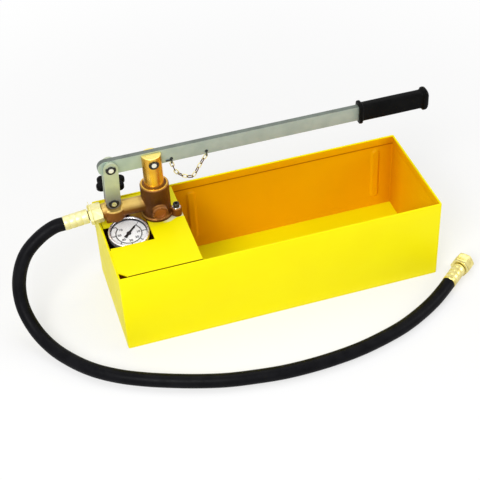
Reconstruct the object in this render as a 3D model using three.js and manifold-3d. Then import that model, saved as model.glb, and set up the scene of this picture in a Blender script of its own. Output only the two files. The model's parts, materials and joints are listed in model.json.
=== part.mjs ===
// Hand-operated hydrostatic test pump on a folded sheet water tank, with lever, gauge and hose.
// Millimetres. Origin at the centre of the tank's underside, +X along the tank towards the handle end,
// +Y to the back, +Z up.
import * as THREE from 'three';
import { mergeVertices } from 'three/addons/utils/BufferGeometryUtils.js';
import Module from 'manifold-3d';

// Tank
const tankLength = 500;
const tankWidth = 190;
const tankHeight = 140;
const tankSheet = 1.5;
const hemDepth = 14;
const hemSheet = 1.5;
const cornerRadius = 3;
const ribWidth = 12;
const ribProud = 2.5;
const ribEndMargin = 22;
const ribPlaceShares = [-0.376, 0.876];

// Deck over the left end of the tank
const deckMargin = 36;
const deckSheet = 2;
const deckGap = 0.8;
const deckFrontGap = 1.4;
const deckCornerClip = 11;
const deckFoldDepth = 12;
const railShelf = 12;
const railDrop = 18;
const railSheet = 1.5;
const pumpPlateSheet = 3;
const coverLap = 10;
const coverRearLeft = 3.8;
const coverRearStep = 7.8;
const coverRearRight = 13.4;
const coverStepLeft = 21.5;
const coverStepRight = 12;

// Pump cylinder
const cylinderInset = 90;
const pumpSetback = 36;
const cylinderRadius = 22;
const cylinderRise = 59;
const cylinderNeckRadius = 20;
const cylinderChamfer = 2;
const chamberRadius = 17;
const chamberClearance = 13;
const suctionBlockHeight = 28;
const guideLength = 21;
const flangeRadius = 24;
const flangeHeight = 5;
const lugRadius = 8;
const lugRight = 27.5;
const lugRightFront = 13;
const lugRightHeight = 14;
const lugLeft = 20;
const lugLeftBack = 22;
const lugLeftHeight = 8;
const cylinderNutRadius = 24;
const cylinderNutHeight = 8;
const cylinderNutNotch = 2;
const cylinderNutNotchWidth = 6;
const cylinderHoleGap = 0.5;

// Piston and its seals
const pistonRadius = 15;
const pistonGap = 0.3;
const pistonLength = 124.5;
const pistonHead = 9.5;
const pistonChamfer = 1;
const forkDepth = 29;
const sealSection = 2.4;
const sealHeight = 4.4;
const wiperHeight = 5.5;
const sealBelowRim = 14;

// Lever, links and pins
const leverRise = 102;
const leverOffset = 4;
const armLength = 62;
const leverBack = 18;
const leverReach = 484;
const leverHeight = 24;
const leverThickness = 8;
const leverEndRadius = 11.5;
const leverCorner = 2;
const sideGap = 0.3;
const linkLength = 61.5;
const linkLean = 2.3;
const linkWidth = 22;
const linkThickness = 5;
const pinRadius = 5;
const pinGap = 0.3;
const pinStickOut = 2.8;
const pinChamfer = 0.8;
const pivotSlide = 2.2;
const pivotLift = 1.5;
const clipRadius = 7.8;
const clipThickness = 1.2;
const clipMouth = 5;
const clipEars = 3.4;

// Grip
const gripStart = 386.5;
const gripLength = 108;
const gripHeight = 29;
const gripWidth = 16;
const gripCorner = 5;
const gripFlange = 5;
const gripFlangeOver = 3.5;
const gripDome = 7;
const gripPocketGap = 0.3;

// Valve body left of the cylinder
const bridgeRadius = 12.5;
const bridgeRise = 24.6;
const bodyRadius = 17;
const bodyRise = 9;
const bodyTopRise = 32;
const linkRoom = 0.8;
const linkRoomDepth = 13;
const lugEarRadius = 11;
const passageRadius = 2.5;
const pocketRadius = 5.5;
const pocketDepth = 18.3;
const feedRise = 7;
const outletBoreStart = 9;
const linkPassageRise = 15;
const footTopRise = 11;
const footShift = 13.7;
const footBack = 24;
const frontBossRadius = 12;
const frontBossProud = 6;
const frontBossRise = 19;
const frontPlugRadius = 9.3;
const frontPlugDepth = 8;
const frontPlugSunk = 1;

// Valve seats, balls and the suction side
const seatLength = 2.5;
const seatRadius = 5.2;
const pocketPlugLength = 3.5;
const pocketPlugSlot = 1.6;
const seatBore = 2.3;
const deliveryBallRadius = 3;
const bushFlats = 27;
const bushHead = 8;
const bushRadius = 10.7;
const bushLength = 8;
const bushBore = 5;
const bushTubeDepth = 5;
const suctionPocketRadius = 9;
const suctionBallRadius = 6.5;
const suctionBallLift = 3;
const ballStopHole = 3.5;
const tubeRadius = 7;
const tubeWall = 1.5;
const strainerRadius = 14;
const strainerHeight = 30;
const strainerLift = 6;
const strainerWall = 1.5;
const strainerSlot = 3;
const strainerSlotCount = 8;

// Shut-off valve behind the links: the spindle turns in place and its tip screws the disc up and down
const valveBack = 41;
const valveShift = 5.3;
const valveArmRadius = 10;
const valveBossRadius = 12.5;
const valveBossRise = 8;
const valveBossHeight = 22;
const valvePassageDrop = 5;
const spindleRadius = 5;
const spindleLength = 22;
const spindleTopRadius = 4;
const spindleTipRadius = 2.4;
const spindleTipReach = 3.5;
const discLiftRoom = 4.2;
const glandFlats = 19;
const glandHeight = 7;
const knobRadius = 19;
const knobLobe = 4.2;
const knobLobeRadius = 7.5;
const knobHeight = 9;
const knobStand = 1.5;
const knobHubRadius = 11;
const knobHubRise = 2.5;
const discHeight = 5;
const discRadius = 4.4;

// Pressure gauge let into the deck
const gaugeRight = 38.5;
const gaugeY = 7;
const gaugeTilt = THREE.MathUtils.degToRad(7);
const gaugeTopDrop = 0.5;
const bezelRadius = 31;
const bezelHeight = 8;
const bezelLip = 3.2;
const bezelLipHeight = 1.4;
const gaugeNotchGap = 1.5;
const gaugeNotchRear = 30;
const gaugeNotchFront = -24;
const gaugeCaseRadius = 29.6;
const gaugeCaseDepth = 26;
const gaugeWall = 1.4;
const glassThickness = 2;
const dialDrop = 5.2;
const dialThickness = 0.8;
const dialEdge = 0.3;
const pointerLength = 19;
const pointerTail = 9;
const pointerWidth = 1.6;
const pointerThickness = 0.7;
const pointerHub = 3;
const pointerLift = 0.5;
const pointerSpindle = 0.8;
const movementSize = 12;
const movementHeight = 6;
const bourdonRadius = 20;
const bourdonSection = 2.6;
const gaugeSocketSize = 14;
const gaugeStubRadius = 4.7;
const gaugeStubLength = 7;
const gaugeShoulderGap = 1.1;
const gaugePortDepth = 15.5;
const gaugeBossWidth = 20;
const gaugeBossDepth = 16;
const gaugeBossHeight = 20;

// Hose outlet and the fittings of the hose
const outletRise = 28.5;
const outletDrop = THREE.MathUtils.degToRad(6.7);
const outletBossRadius = 11.5;
const outletBossReach = 18.6;
const hoseNutFlats = 27;
const hoseNutLength = 20;
const hoseNutChamfer = 1.5;
const hoseNutBore = 10;
const hoseNutBoreDepth = 12;
const tailRadius = 6.3;
const tailBore = 4;
const tailNeckRadius = 8.2;
const tailFlangeRadius = 9.7;
const tailFlangeLength = 2.5;
const ferruleRadius = 11;
const ferruleLength = 37.5;
const ferruleRim = 1.2;
const ferruleGroove = 0.8;
const ferruleGrooves = 3;
const ferruleGap = 1.3;
const hoseRadius = 10.5;
const endHeading = THREE.MathUtils.degToRad(40);
const endNutLength = 22;
const endLift = 13.8;
const washerThickness = 1.5;
const hoseLead = 14;
const hoseSteps = 26;
const hoseSides = 12;

// The hose leaves the ferrule, bends to the floor and lies round the front of the tank
const hoseRoute = [
  [-341, 33, 144], [-367, 25, 123], [-384, 11, 89], [-387, -8, 55],
  [-377, -35, 28], [-359, -68, 15], [-336, -100, 11], [-309, -130, 11], [-277, -154, 11], [-242, -173, 11],
  [-205, -189, 11], [-167, -203, 11], [-129, -214, 11], [-90, -221, 11], [-50, -226, 11], [-10, -227, 11],
  [30, -225, 11], [70, -220, 11], [109, -211, 11], [147, -199, 11], [183, -182, 11], [214, -164, 12],
];
const hoseEnd = [250, -137];

// Chain and lock pin
const ringLeft = 92;
const ringRight = 145.5;
const ringRadius = 6;
const ringWire = 0.8;
const ringHole = 2.6;
const ringHoleDrop = 7;
const chainWire = 0.75;
const chainLinkHalf = 2.4;
const chainLinkBend = 2.4;
const chainLinkCount = 11;
const chainGrip = 0.3;
const chainHang = 0.35;
const chainSearchSteps = 2000;
const chainBend = [
  [0, 0], [0.06, 0.33], [0.1, 0.52], [0.22, 0.72], [0.4, 0.9], [0.53, 1], [0.65, 0.8], [0.78, 0.48],
  [0.89, 0.22], [1, 0],
];
const lockWire = 1;
const lockWireLength = 9;
const lockWireDrop = 8.7;

// Fasteners under the casting
const boltHeadRadius = 5;
const boltHead = 6;
const boltSocketFlats = 5;
const boltSocketDepth = 3;
const boltRadius = 3;
const boltGap = 0.3;
const boltWasherRadius = 6;
const boltWasher = 1.2;
const boltEnd = 2;
const weldNutFlats = 9;
const weldNutHeight = 5;

// Facets and cutting
const roundSides = 24;
const smallSides = 12;
const wireSides = 4;
const wireBends = 4;
const bendSteps = 4;
const searchSteps = 24;
const hexSides = 6;
const overrun = 1;
const weldDistance = 1e-4;
const quarterTurn = Math.PI / 2;
const fullTurn = Math.PI * 2;

// Places worked out from the sizes
const tankLeft = -tankLength / 2;
const deckTop = tankHeight;
const plateTop = deckTop - deckSheet;
const plateBottom = plateTop - pumpPlateSheet;
const pumpX = tankLeft + cylinderInset;
const deckRight = pumpX + deckMargin;
const innerWidth = tankWidth / 2 - tankSheet - hemSheet;
const innerLeft = tankLeft + tankSheet + hemSheet;
const pumpY = pumpSetback;
const leverY = pumpY + leverOffset;
const leverZ = plateTop + leverRise;
const linkTopX = pumpX - armLength;
const linkBottomX = linkTopX - linkLean;
const linkBottomZ = leverZ - Math.sqrt(linkLength ** 2 - linkLean ** 2);
const rimZ = plateTop + cylinderRise;
const pistonTop = leverZ + pistonHead;
const pistonBottom = pistonTop - pistonLength;
const chamberFloor = pistonBottom - chamberClearance;
const cylinderBottom = chamberFloor - suctionBlockHeight;
const guideBottom = rimZ - guideLength;
const linkInner = leverThickness / 2 + sideGap;
const linkOuter = linkInner + linkThickness;
const bodyX = linkBottomX;
const bodyBottom = plateTop + bodyRise;
const bodyTop = plateTop + bodyTopRise;
const bridgeZ = plateTop + bridgeRise;
const feedZ = bodyBottom + feedRise;
const seatZ = feedZ + passageRadius + boltGap;
const gaugeX = tankLeft + gaugeRight;
const gaugeTop = deckTop - gaugeTopDrop;
const valveX = bodyX + valveShift;
const valveY = pumpY + valveBack;
const valveBossBottom = plateTop + valveBossRise;
const valveBossTop = valveBossBottom + valveBossHeight;
const valveArmZ = valveBossBottom + valveBossHeight / 2;
const outletZ = plateTop + outletRise;
const boltPlaces = [
  [pumpX + lugRight, pumpY - lugRightFront, plateTop + lugRightHeight],
  [pumpX - lugLeft, pumpY + lugLeftBack, plateTop + lugLeftHeight],
  [bodyX - footShift, pumpY + footBack, plateTop + footTopRise],
];
const boltNames = ['right', 'rear', 'left'];

const wasm = await Module();
wasm.setup();

// Solids: a closed geometry becomes something that can be joined and cut
function toSolid(geometry) {
  const bare = geometry.clone();
  bare.deleteAttribute('normal');
  bare.deleteAttribute('uv');
  const merged = mergeVertices(bare, weldDistance);
  const points = merged.attributes.position.array;
  const index = merged.index.array;
  const triangles = [];
  let volume = 0;
  const corner = [new THREE.Vector3(), new THREE.Vector3(), new THREE.Vector3()];
  for (let i = 0; i < index.length; i += 3) {
    const [a, b, c] = index.slice(i, i + 3);
    if (a === b || b === c || c === a) continue;
    triangles.push(a, b, c);
    [a, b, c].forEach((vertex, k) => corner[k].fromArray(points, 3 * vertex));
    volume += corner[0].dot(corner[1].clone().cross(corner[2]));
  }
  if (volume < 0) triangles.reverse();
  return new wasm.Manifold(new wasm.Mesh({
    numProp: 3,
    vertProperties: new Float32Array(points),
    triVerts: new Uint32Array(triangles),
  }));
}

function toGeometry(solid) {
  const mesh = solid.getMesh();
  const geometry = new THREE.BufferGeometry();
  geometry.setAttribute('position', new THREE.BufferAttribute(new Float32Array(mesh.vertProperties), 3));
  geometry.setIndex(Array.from(mesh.triVerts));
  const flat = geometry.toNonIndexed();
  flat.computeVertexNormals();
  return flat;
}

function join(...solids) {
  return solids.reduce((sum, next) => sum.add(next));
}

function cut(base, ...tools) {
  return tools.reduce((rest, tool) => rest.subtract(tool), base);
}

// Basic shapes, each placed in millimetres
function block(xLow, xHigh, yLow, yHigh, zLow, zHigh) {
  const geometry = new THREE.BoxGeometry(xHigh - xLow, yHigh - yLow, zHigh - zLow);
  geometry.translate((xLow + xHigh) / 2, (yLow + yHigh) / 2, (zLow + zHigh) / 2);
  return toSolid(geometry);
}

function turnAxis(geometry, axis) {
  if (axis === 'x') geometry.rotateZ(-quarterTurn);
  if (axis === 'z') geometry.rotateX(quarterTurn);
  return geometry;
}

// A profile of [radius, height] points turned about an axis through the origin
function turned(profile, axis = 'z', sides = roundSides) {
  const points = profile.map(([radius, height]) => new THREE.Vector2(radius, height));
  return turnAxis(new THREE.LatheGeometry(points, sides), axis);
}

function rod(axis, radius, low, high, first = 0, second = 0, sides = roundSides) {
  const geometry = turned([[0, low], [radius, low], [radius, high], [0, high]], axis, sides);
  if (axis === 'x') geometry.translate(0, first, second);
  if (axis === 'y') geometry.translate(first, 0, second);
  if (axis === 'z') geometry.translate(first, second, 0);
  return toSolid(geometry);
}

function ring(inner, outer, low, high, sides = roundSides) {
  return turned([[inner, low], [outer, low], [outer, high], [inner, high], [inner, low]], 'z', sides);
}

function hexagon(axis, flats, low, high, first = 0, second = 0) {
  const radius = flats / Math.sqrt(3);
  const geometry = turned([[0, low], [radius, low], [radius, high], [0, high]], axis, hexSides);
  if (axis === 'x') geometry.rotateX(Math.PI / hexSides);
  geometry.translate(first, second, 0);
  return toSolid(geometry);
}

function prism(outline, low, high, segments = bendSteps) {
  const shape = outline instanceof THREE.Shape ? outline : new THREE.Shape(outline);
  const settings = { depth: high - low, bevelEnabled: false, curveSegments: segments / 2 };
  const geometry = new THREE.ExtrudeGeometry(shape, settings);
  geometry.translate(0, 0, low);
  return geometry;
}

// A prism whose outline lies in the XZ plane and whose depth runs along +Y
function uprightPrism(outline, front, back, segments = bendSteps) {
  const geometry = prism(outline, -back, -front, segments);
  geometry.rotateX(quarterTurn);
  return toSolid(geometry);
}

function outlineOf(points) {
  return points.map(([x, y]) => new THREE.Vector2(x, y));
}

function roundedRectangle(width, height, radius, centreX = 0, centreY = 0) {
  const shape = new THREE.Shape();
  const x = width / 2 - radius;
  const y = height / 2 - radius;
  shape.absarc(centreX + x, centreY + y, radius, 0, quarterTurn);
  shape.absarc(centreX - x, centreY + y, radius, quarterTurn, 2 * quarterTurn);
  shape.absarc(centreX - x, centreY - y, radius, 2 * quarterTurn, 3 * quarterTurn);
  shape.absarc(centreX + x, centreY - y, radius, 3 * quarterTurn, fullTurn);
  return shape;
}

// A wire bent to a closed oval in the XZ plane, round the origin
function wireOval(halfStraight, bendRadius, wire, sides = wireSides) {
  const path = [];
  for (let side = 0; side < 2; side += 1) {
    for (let step = 0; step <= wireBends; step += 1) {
      const angle = side * Math.PI - quarterTurn + (Math.PI * step) / wireBends;
      const shift = side === 0 ? halfStraight : -halfStraight;
      path.push([shift, angle]);
    }
  }
  const positions = [];
  for (const [shift, angle] of path) {
    for (let k = 0; k < sides; k += 1) {
      const roll = (fullTurn * k) / sides;
      const reach = bendRadius + wire * Math.cos(roll);
      positions.push(shift + reach * Math.cos(angle), wire * Math.sin(roll), reach * Math.sin(angle));
    }
  }
  const index = [];
  for (let i = 0; i < path.length; i += 1) {
    const next = (i + 1) % path.length;
    for (let k = 0; k < sides; k += 1) {
      const turn = (k + 1) % sides;
      index.push(i * sides + k, next * sides + k, next * sides + turn);
      index.push(i * sides + k, next * sides + turn, i * sides + turn);
    }
  }
  const geometry = new THREE.BufferGeometry();
  geometry.setAttribute('position', new THREE.Float32BufferAttribute(positions, 3));
  geometry.setIndex(index);
  return geometry;
}

// Retaining clip of a pin: a flat C with two ears, axis along Y, mouth up
function retainingClip(front) {
  const outer = rod('y', clipRadius, front, front + clipThickness, 0, 0, smallSides);
  const inner = pinRadius + pinGap;
  const bore = rod('y', inner, front - overrun, front + clipThickness + overrun, 0, 0, smallSides);
  const back = front + clipThickness + overrun;
  const mouth = block(-clipMouth, clipMouth, front - overrun, back, clipEars, clipRadius + overrun);
  return cut(outer, bore, mouth);
}

// A pin along Y with small chamfers at both ends
function pin(radius, front, back) {
  const geometry = turned([
    [0, front], [radius - pinChamfer, front], [radius, front + pinChamfer],
    [radius, back - pinChamfer], [radius - pinChamfer, back], [0, back],
  ], 'y', smallSides);
  return toSolid(geometry);
}

function placed(geometry, x, y, z) {
  geometry.translate(x, y, z);
  return toSolid(geometry);
}

// The finished pieces hang in one group, with nested groups for what is turned
const pump = new THREE.Group();

function addPiece(group, name, solid, colour, roughness, metalness) {
  const material = new THREE.MeshStandardMaterial({ color: colour, roughness, metalness });
  const mesh = new THREE.Mesh(toGeometry(solid), material);
  mesh.name = name;
  group.add(mesh);
  return mesh;
}

const paint = [0xfdf200, 0.35, 0];
const castBrass = [0x8f5a1c, 0.45, 1];
const turnedBrass = [0xd9a23a, 0.25, 1];
const paleBrass = [0xe3cf7a, 0.3, 1];
const zinc = [0xa9b5a0, 0.4, 1];
const blackSteel = [0x16140f, 0.5, 0.6];
const steel = [0xb9bcbb, 0.3, 1];
const rubber = [0x141416, 0.7, 0];
const blackPlastic = [0x101010, 0.5, 0];
const white = [0xf6f6f3, 0.5, 0];
const clear = [0xeef4f4, 0.05, 0];

// Tank: one folded sheet with a hem round the rim and two pressed ribs in the back wall
function tankShell() {
  const innerLength = tankLength - 2 * tankSheet;
  const innerAcross = tankWidth - 2 * tankSheet;
  const outside = toSolid(prism(roundedRectangle(tankLength, tankWidth, cornerRadius), 0, tankHeight));
  const innerRadius = cornerRadius - tankSheet;
  const inside = roundedRectangle(innerLength, innerAcross, innerRadius);
  const hollow = toSolid(prism(inside, tankSheet, tankHeight + overrun));
  const hemBottom = tankHeight - hemDepth;
  const hemBand = toSolid(prism(inside, hemBottom, tankHeight));
  const mouthLength = innerLength - 2 * hemSheet;
  const mouthAcross = innerAcross - 2 * hemSheet;
  const mouth = block(
    -mouthLength / 2, mouthLength / 2, -mouthAcross / 2, mouthAcross / 2,
    hemBottom - overrun, tankHeight + overrun,
  );
  let shell = join(cut(outside, hollow), cut(hemBand, mouth));
  const ribLength = tankHeight - hemDepth - ribEndMargin - tankSheet - ribWidth / 2;
  const ribMiddle = ribEndMargin + ribLength / 2;
  const wallInside = innerAcross / 2;
  const grooveWidth = ribWidth - 2 * tankSheet;
  const grooveLength = ribLength - 2 * tankSheet;
  for (const share of ribPlaceShares) {
    const ribX = (share * tankLength) / 2;
    const ribShape = roundedRectangle(ribWidth, ribLength, ribWidth / 2, ribX, ribMiddle);
    const grooveShape = roundedRectangle(grooveWidth, grooveLength, grooveWidth / 2, ribX, ribMiddle);
    shell = join(shell, uprightPrism(ribShape, wallInside - ribProud, wallInside));
    const grooveFront = wallInside - ribProud + tankSheet;
    shell = cut(shell, uprightPrism(grooveShape, grooveFront, tankWidth / 2 + overrun));
  }
  return shell;
}

// Angle rail welded to the hem, side is -1 at the front and 1 at the back
function deckRail(side, top) {
  const outer = side * innerWidth;
  const shelfEdge = side * (innerWidth - railShelf);
  const legEdge = side * (innerWidth - railSheet);
  const left = innerLeft + deckGap + deckCornerClip;
  const right = deckRight - deckSheet - deckGap;
  const [shelfLow, shelfHigh] = [Math.min(outer, shelfEdge), Math.max(outer, shelfEdge)];
  const [legLow, legHigh] = [Math.min(outer, legEdge), Math.max(outer, legEdge)];
  return join(
    block(left, right, shelfLow, shelfHigh, top - railSheet, top),
    block(left, right, legLow, legHigh, top - railDrop, top),
  );
}

// Front cover of the deck, cut out for the gauge and stepped along its rear edge
function deckCover() {
  const left = innerLeft + deckGap;
  const front = -innerWidth + deckFrontGap;
  const notchRight = gaugeX + bezelRadius + gaugeNotchGap;
  const sheet = toSolid(prism(outlineOf([
    [left + deckCornerClip, front],
    [deckRight, front],
    [deckRight, coverRearRight],
    [deckRight - coverStepRight, coverRearRight],
    [deckRight - coverStepLeft, coverRearStep],
    [notchRight, coverRearLeft],
    [notchRight, gaugeNotchFront],
    [left, gaugeNotchFront],
    [left, front + deckCornerClip],
  ]), plateTop, deckTop));
  const foldFront = front + railShelf + deckGap;
  const foldBack = pumpPlateFront() - deckGap;
  const foldLow = plateTop - deckFoldDepth;
  const fold = block(deckRight - deckSheet, deckRight, foldFront, foldBack, foldLow, plateTop);
  return join(sheet, fold);
}

function pumpPlateFront() {
  return coverRearLeft - coverLap;
}

// Plate that carries the casting
function pumpPlate() {
  const left = innerLeft + deckGap;
  const back = innerWidth - deckGap;
  const [low, high] = [plateBottom - overrun, plateTop + overrun];
  const notchRight = gaugeX + bezelRadius + gaugeNotchGap;
  const bossHalf = gaugeBossWidth / 2 + deckGap;
  const bossBack = gaugeBossFront() + gaugeBossDepth + deckGap;
  const nutLow = plateBottom - weldNutHeight;
  const holes = boltPlaces.map(([x, y]) => (
    rod('z', boltRadius + boltGap, nutLow - overrun, high, x, y, smallSides)
  ));
  const sheet = toSolid(prism(outlineOf([
    [left, pumpPlateFront()],
    [deckRight, pumpPlateFront()],
    [deckRight, back],
    [left + deckCornerClip, back],
    [left, back - deckCornerClip],
  ]), plateBottom, plateTop));
  const weldNuts = boltPlaces.map(([x, y]) => hexagon('z', weldNutFlats, nutLow, plateBottom, x, y));
  return cut(
    join(sheet, ...weldNuts),
    block(left - overrun, notchRight, pumpPlateFront() - overrun, gaugeNotchRear, low, high),
    rod('z', bezelRadius + gaugeNotchGap, low, high, gaugeX, gaugeY + gaugeNotchGap),
    block(gaugeX - bossHalf, gaugeX + bossHalf, gaugeNotchRear - overrun, bossBack, low, high),
    rod('z', cylinderNeckRadius + cylinderHoleGap, low, high, pumpX, pumpY),
    ...holes,
  );
}

// Frame of the gauge: its axis is +Z, the glass side up and the socket towards +Y
function gaugeFrame() {
  const frame = new THREE.Group();
  frame.position.set(gaugeX, gaugeY, gaugeTop);
  frame.rotation.x = gaugeTilt;
  frame.updateMatrix();
  return frame;
}

// Front of the gauge boss, just behind the rear of the gauge case
function gaugeBossFront() {
  const caseDepth = Math.sin(gaugeTilt) * gaugePortDepth;
  return gaugeY + Math.cos(gaugeTilt) * gaugeCaseRadius + caseDepth + gaugeSocketSize / 2;
}

function gaugePortZ() {
  const back = gaugeBossFront() - gaugeY;
  return gaugeTop - gaugePortDepth + Math.tan(gaugeTilt) * back;
}

function outletFrame() {
  const frame = new THREE.Group();
  frame.position.set(bodyX, pumpY, outletZ);
  frame.rotation.set(0, outletDrop, Math.PI, 'ZYX');
  frame.updateMatrix();
  return frame;
}

// One casting: cylinder, bridge, valve body, lugs, bosses and their drillings
function pumpBody() {
  const rim = rimZ - cylinderChamfer;
  const barrel = placed(turned([
    [0, cylinderBottom], [cylinderNeckRadius, cylinderBottom], [cylinderNeckRadius, plateTop],
    [cylinderRadius, plateTop], [cylinderRadius, rim], [cylinderRadius - cylinderChamfer, rimZ], [0, rimZ],
  ]), pumpX, pumpY, 0);
  const flange = rod('z', flangeRadius, plateTop, plateTop + flangeHeight, pumpX, pumpY);
  const lugs = boltPlaces.slice(0, 2).map(([x, y, top]) => (
    rod('z', lugRadius, plateTop, top, x, y, smallSides)
  ));
  const bridge = rod('x', bridgeRadius, bodyX, pumpX, pumpY, bridgeZ);
  const body = placed(turned([
    [0, bodyBottom], [bodyRadius - cylinderChamfer, bodyBottom], [bodyRadius, bodyBottom + cylinderChamfer],
    [bodyRadius, bodyTop - cylinderChamfer], [bodyRadius - cylinderChamfer, bodyTop], [0, bodyTop],
  ]), bodyX, pumpY, 0);
  const earFront = leverY - leverThickness / 2;
  const earBack = leverY + leverThickness / 2;
  const earBase = bodyTop - cylinderChamfer;
  const ear = join(
    rod('y', lugEarRadius, earFront, earBack, linkBottomX, linkBottomZ),
    block(linkBottomX - lugEarRadius, linkBottomX + lugEarRadius, earFront, earBack, earBase, linkBottomZ),
  );
  const frontFace = pumpY - cylinderRadius - frontBossProud;
  const frontBossZ = plateTop + frontBossRise;
  const frontBoss = rod('y', frontBossRadius, frontFace, pumpY, pumpX, frontBossZ);
  const arm = rod('y', valveArmRadius, pumpY, valveY, valveX, valveArmZ);
  const valveBoss = rod('z', valveBossRadius, valveBossBottom, valveBossTop, valveX, valveY);
  const [footX, footY, footTop] = boltPlaces[2];
  const foot = join(
    rod('z', lugRadius, plateTop, footTop, footX, footY, smallSides),
    block(footX, bodyX, pumpY, footY + lugRadius / 2, plateTop, footTop),
  );
  const gaugeBossTop = bodyBottom + cylinderChamfer + overrun;
  const bossFront = gaugeBossFront();
  const gaugeBoss = block(
    gaugeX - gaugeBossWidth / 2, gaugeX + gaugeBossWidth / 2, bossFront, bossFront + gaugeBossDepth,
    gaugePortZ() - gaugeBossHeight / 2, gaugeBossTop,
  );
  const spigotEnd = outletBossReach + hoseNutBoreDepth - tailFlangeLength - 2 * pinGap;
  const outlet = toSolid(turned([
    [0, 0], [outletBossRadius, 0], [outletBossRadius, outletBossReach], [tailFlangeRadius, outletBossReach],
    [tailFlangeRadius, spigotEnd], [0, spigotEnd],
  ], 'x').applyMatrix4(outletFrame().matrix));
  const whole = join(
    barrel, flange, ...lugs, bridge, body, ear, frontBoss, arm, valveBoss, foot, gaugeBoss, outlet,
  );

  const top = rimZ + overrun;
  const guide = rod('z', pistonRadius + pistonGap, chamberFloor, top, pumpX, pumpY);
  const chamber = rod('z', chamberRadius, chamberFloor, guideBottom, pumpX, pumpY);
  const sealRoom = pistonRadius + pistonGap + sealSection + pistonGap;
  const sealMiddle = rimZ - sealBelowRim;
  const sealHalf = sealHeight / 2 + pistonGap;
  const sealGroove = rod('z', sealRoom, sealMiddle - sealHalf, sealMiddle + sealHalf, pumpX, pumpY);
  const wiperRoom = rod('z', sealRoom, rimZ - wiperHeight - pistonGap, top, pumpX, pumpY);
  const roomTop = cylinderBottom + suctionBallZ() + suctionBallRadius + suctionBallLift;
  const valveRoom = rod('z', suctionPocketRadius, cylinderBottom + bushLength, roomTop, pumpX, pumpY);
  const [stopLow, stopHigh] = [roomTop - overrun, chamberFloor + overrun];
  const stopReach = suctionPocketRadius - pinGap;
  const half = ballStopHole / 2;
  const stopHoles = join(
    rod('z', ballStopHole, stopLow, stopHigh, pumpX, pumpY, smallSides),
    block(pumpX - stopReach, pumpX + stopReach, pumpY - half, pumpY + half, stopLow, stopHigh),
    block(pumpX - half, pumpX + half, pumpY - stopReach, pumpY + stopReach, stopLow, stopHigh),
  );
  const bushEnd = cylinderBottom + bushLength + boltGap;
  const bushRoom = rod('z', bushRadius + boltGap, cylinderBottom - overrun, bushEnd, pumpX, pumpY);
  const feed = rod('x', passageRadius, bodyX, pumpX, pumpY, feedZ, smallSides);
  const pocketTop = bodyBottom + pocketDepth;
  const pocket = rod('z', pocketRadius, bodyBottom - overrun, pocketTop, bodyX, pumpY, smallSides);
  const outletHole = toSolid(turned([
    [0, outletBoreStart], [tailBore, outletBoreStart],
    [tailBore, spigotEnd + overrun], [0, spigotEnd + overrun],
  ], 'x', smallSides).applyMatrix4(outletFrame().matrix));
  const crossZ = bodyBottom + linkPassageRise;
  const crossEnd = bodyX - outletBoreStart - tailBore;
  const cross = rod('x', passageRadius, crossEnd, bodyX, pumpY, crossZ, smallSides);
  const armHole = rod('y', passageRadius, pumpY, valveY, valveX, valveArmZ - valvePassageDrop, smallSides);
  const seatFace = valveBossBottom + cylinderChamfer;
  const holeTop = valveBossTop + overrun;
  const spindleHole = rod('z', spindleRadius + pinGap, seatFace, holeTop, valveX, valveY, smallSides);
  const plugBack = frontFace + frontPlugSunk + frontPlugDepth + boltGap;
  const plugHole = rod('y', frontPlugRadius + boltGap, frontFace - overrun, plugBack, pumpX, frontBossZ);
  const plugPassage = rod('y', passageRadius, frontFace, pumpY, pumpX, frontBossZ, smallSides);
  const [holeFront, holeBack] = [earFront - overrun, earBack + overrun];
  const earHole = rod('y', pinRadius + pinGap, holeFront, holeBack, linkBottomX, linkBottomZ, smallSides);
  const portBack = gaugeBossFrontInGauge() + gaugeStubLength + overrun;
  const roomRadius = linkWidth / 2 + linkRoom;
  const linkRooms = [[earFront - linkRoomDepth, earFront], [earBack, earBack + linkRoomDepth]].map(
    ([front, back]) => rod('y', roomRadius, front, back, linkBottomX, linkBottomZ),
  );
  const port = toSolid(turned([
    [0, gaugeCaseRadius], [gaugeStubRadius + pinGap, gaugeCaseRadius],
    [gaugeStubRadius + pinGap, portBack], [0, portBack],
  ], 'y', smallSides).translate(0, 0, -gaugePortDepth).applyMatrix4(gaugeFrame().matrix));
  const bolts = boltPlaces.map(([x, y, z]) => (
    rod('z', boltRadius + boltGap, plateTop - overrun, z + overrun, x, y, smallSides)
  ));
  return cut(
    whole, guide, chamber, sealGroove, wiperRoom, valveRoom, stopHoles, bushRoom, feed, pocket, outletHole,
    cross, armHole, spindleHole, plugHole, plugPassage, earHole, port, ...linkRooms, ...bolts,
  );
}

// Height of the suction ball's centre over the cylinder's bottom face
function suctionBallZ() {
  return bushLength + Math.sqrt(suctionBallRadius ** 2 - bushBore ** 2) + pinGap;
}

function pistonSolid() {
  const bar = placed(turned([
    [0, pistonBottom], [pistonRadius - pistonChamfer, pistonBottom],
    [pistonRadius, pistonBottom + pistonChamfer], [pistonRadius, pistonTop - pistonChamfer],
    [pistonRadius - pistonChamfer, pistonTop], [0, pistonTop],
  ]), pumpX, pumpY, 0);
  const reach = pistonRadius + overrun;
  const slot = block(pumpX - reach, pumpX + reach, leverY - linkInner, leverY + linkInner,
    leverZ - forkDepth, pistonTop + overrun);
  const hole = rod('y', pinRadius + pinGap, pumpY - reach, pumpY + reach, pumpX, leverZ, smallSides);
  return cut(bar, slot, hole);
}

function pistonPinSolid() {
  const reach = pistonRadius + pinStickOut;
  const geometry = pin(pinRadius, pumpY - reach, pumpY + reach);
  return geometry;
}

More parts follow.
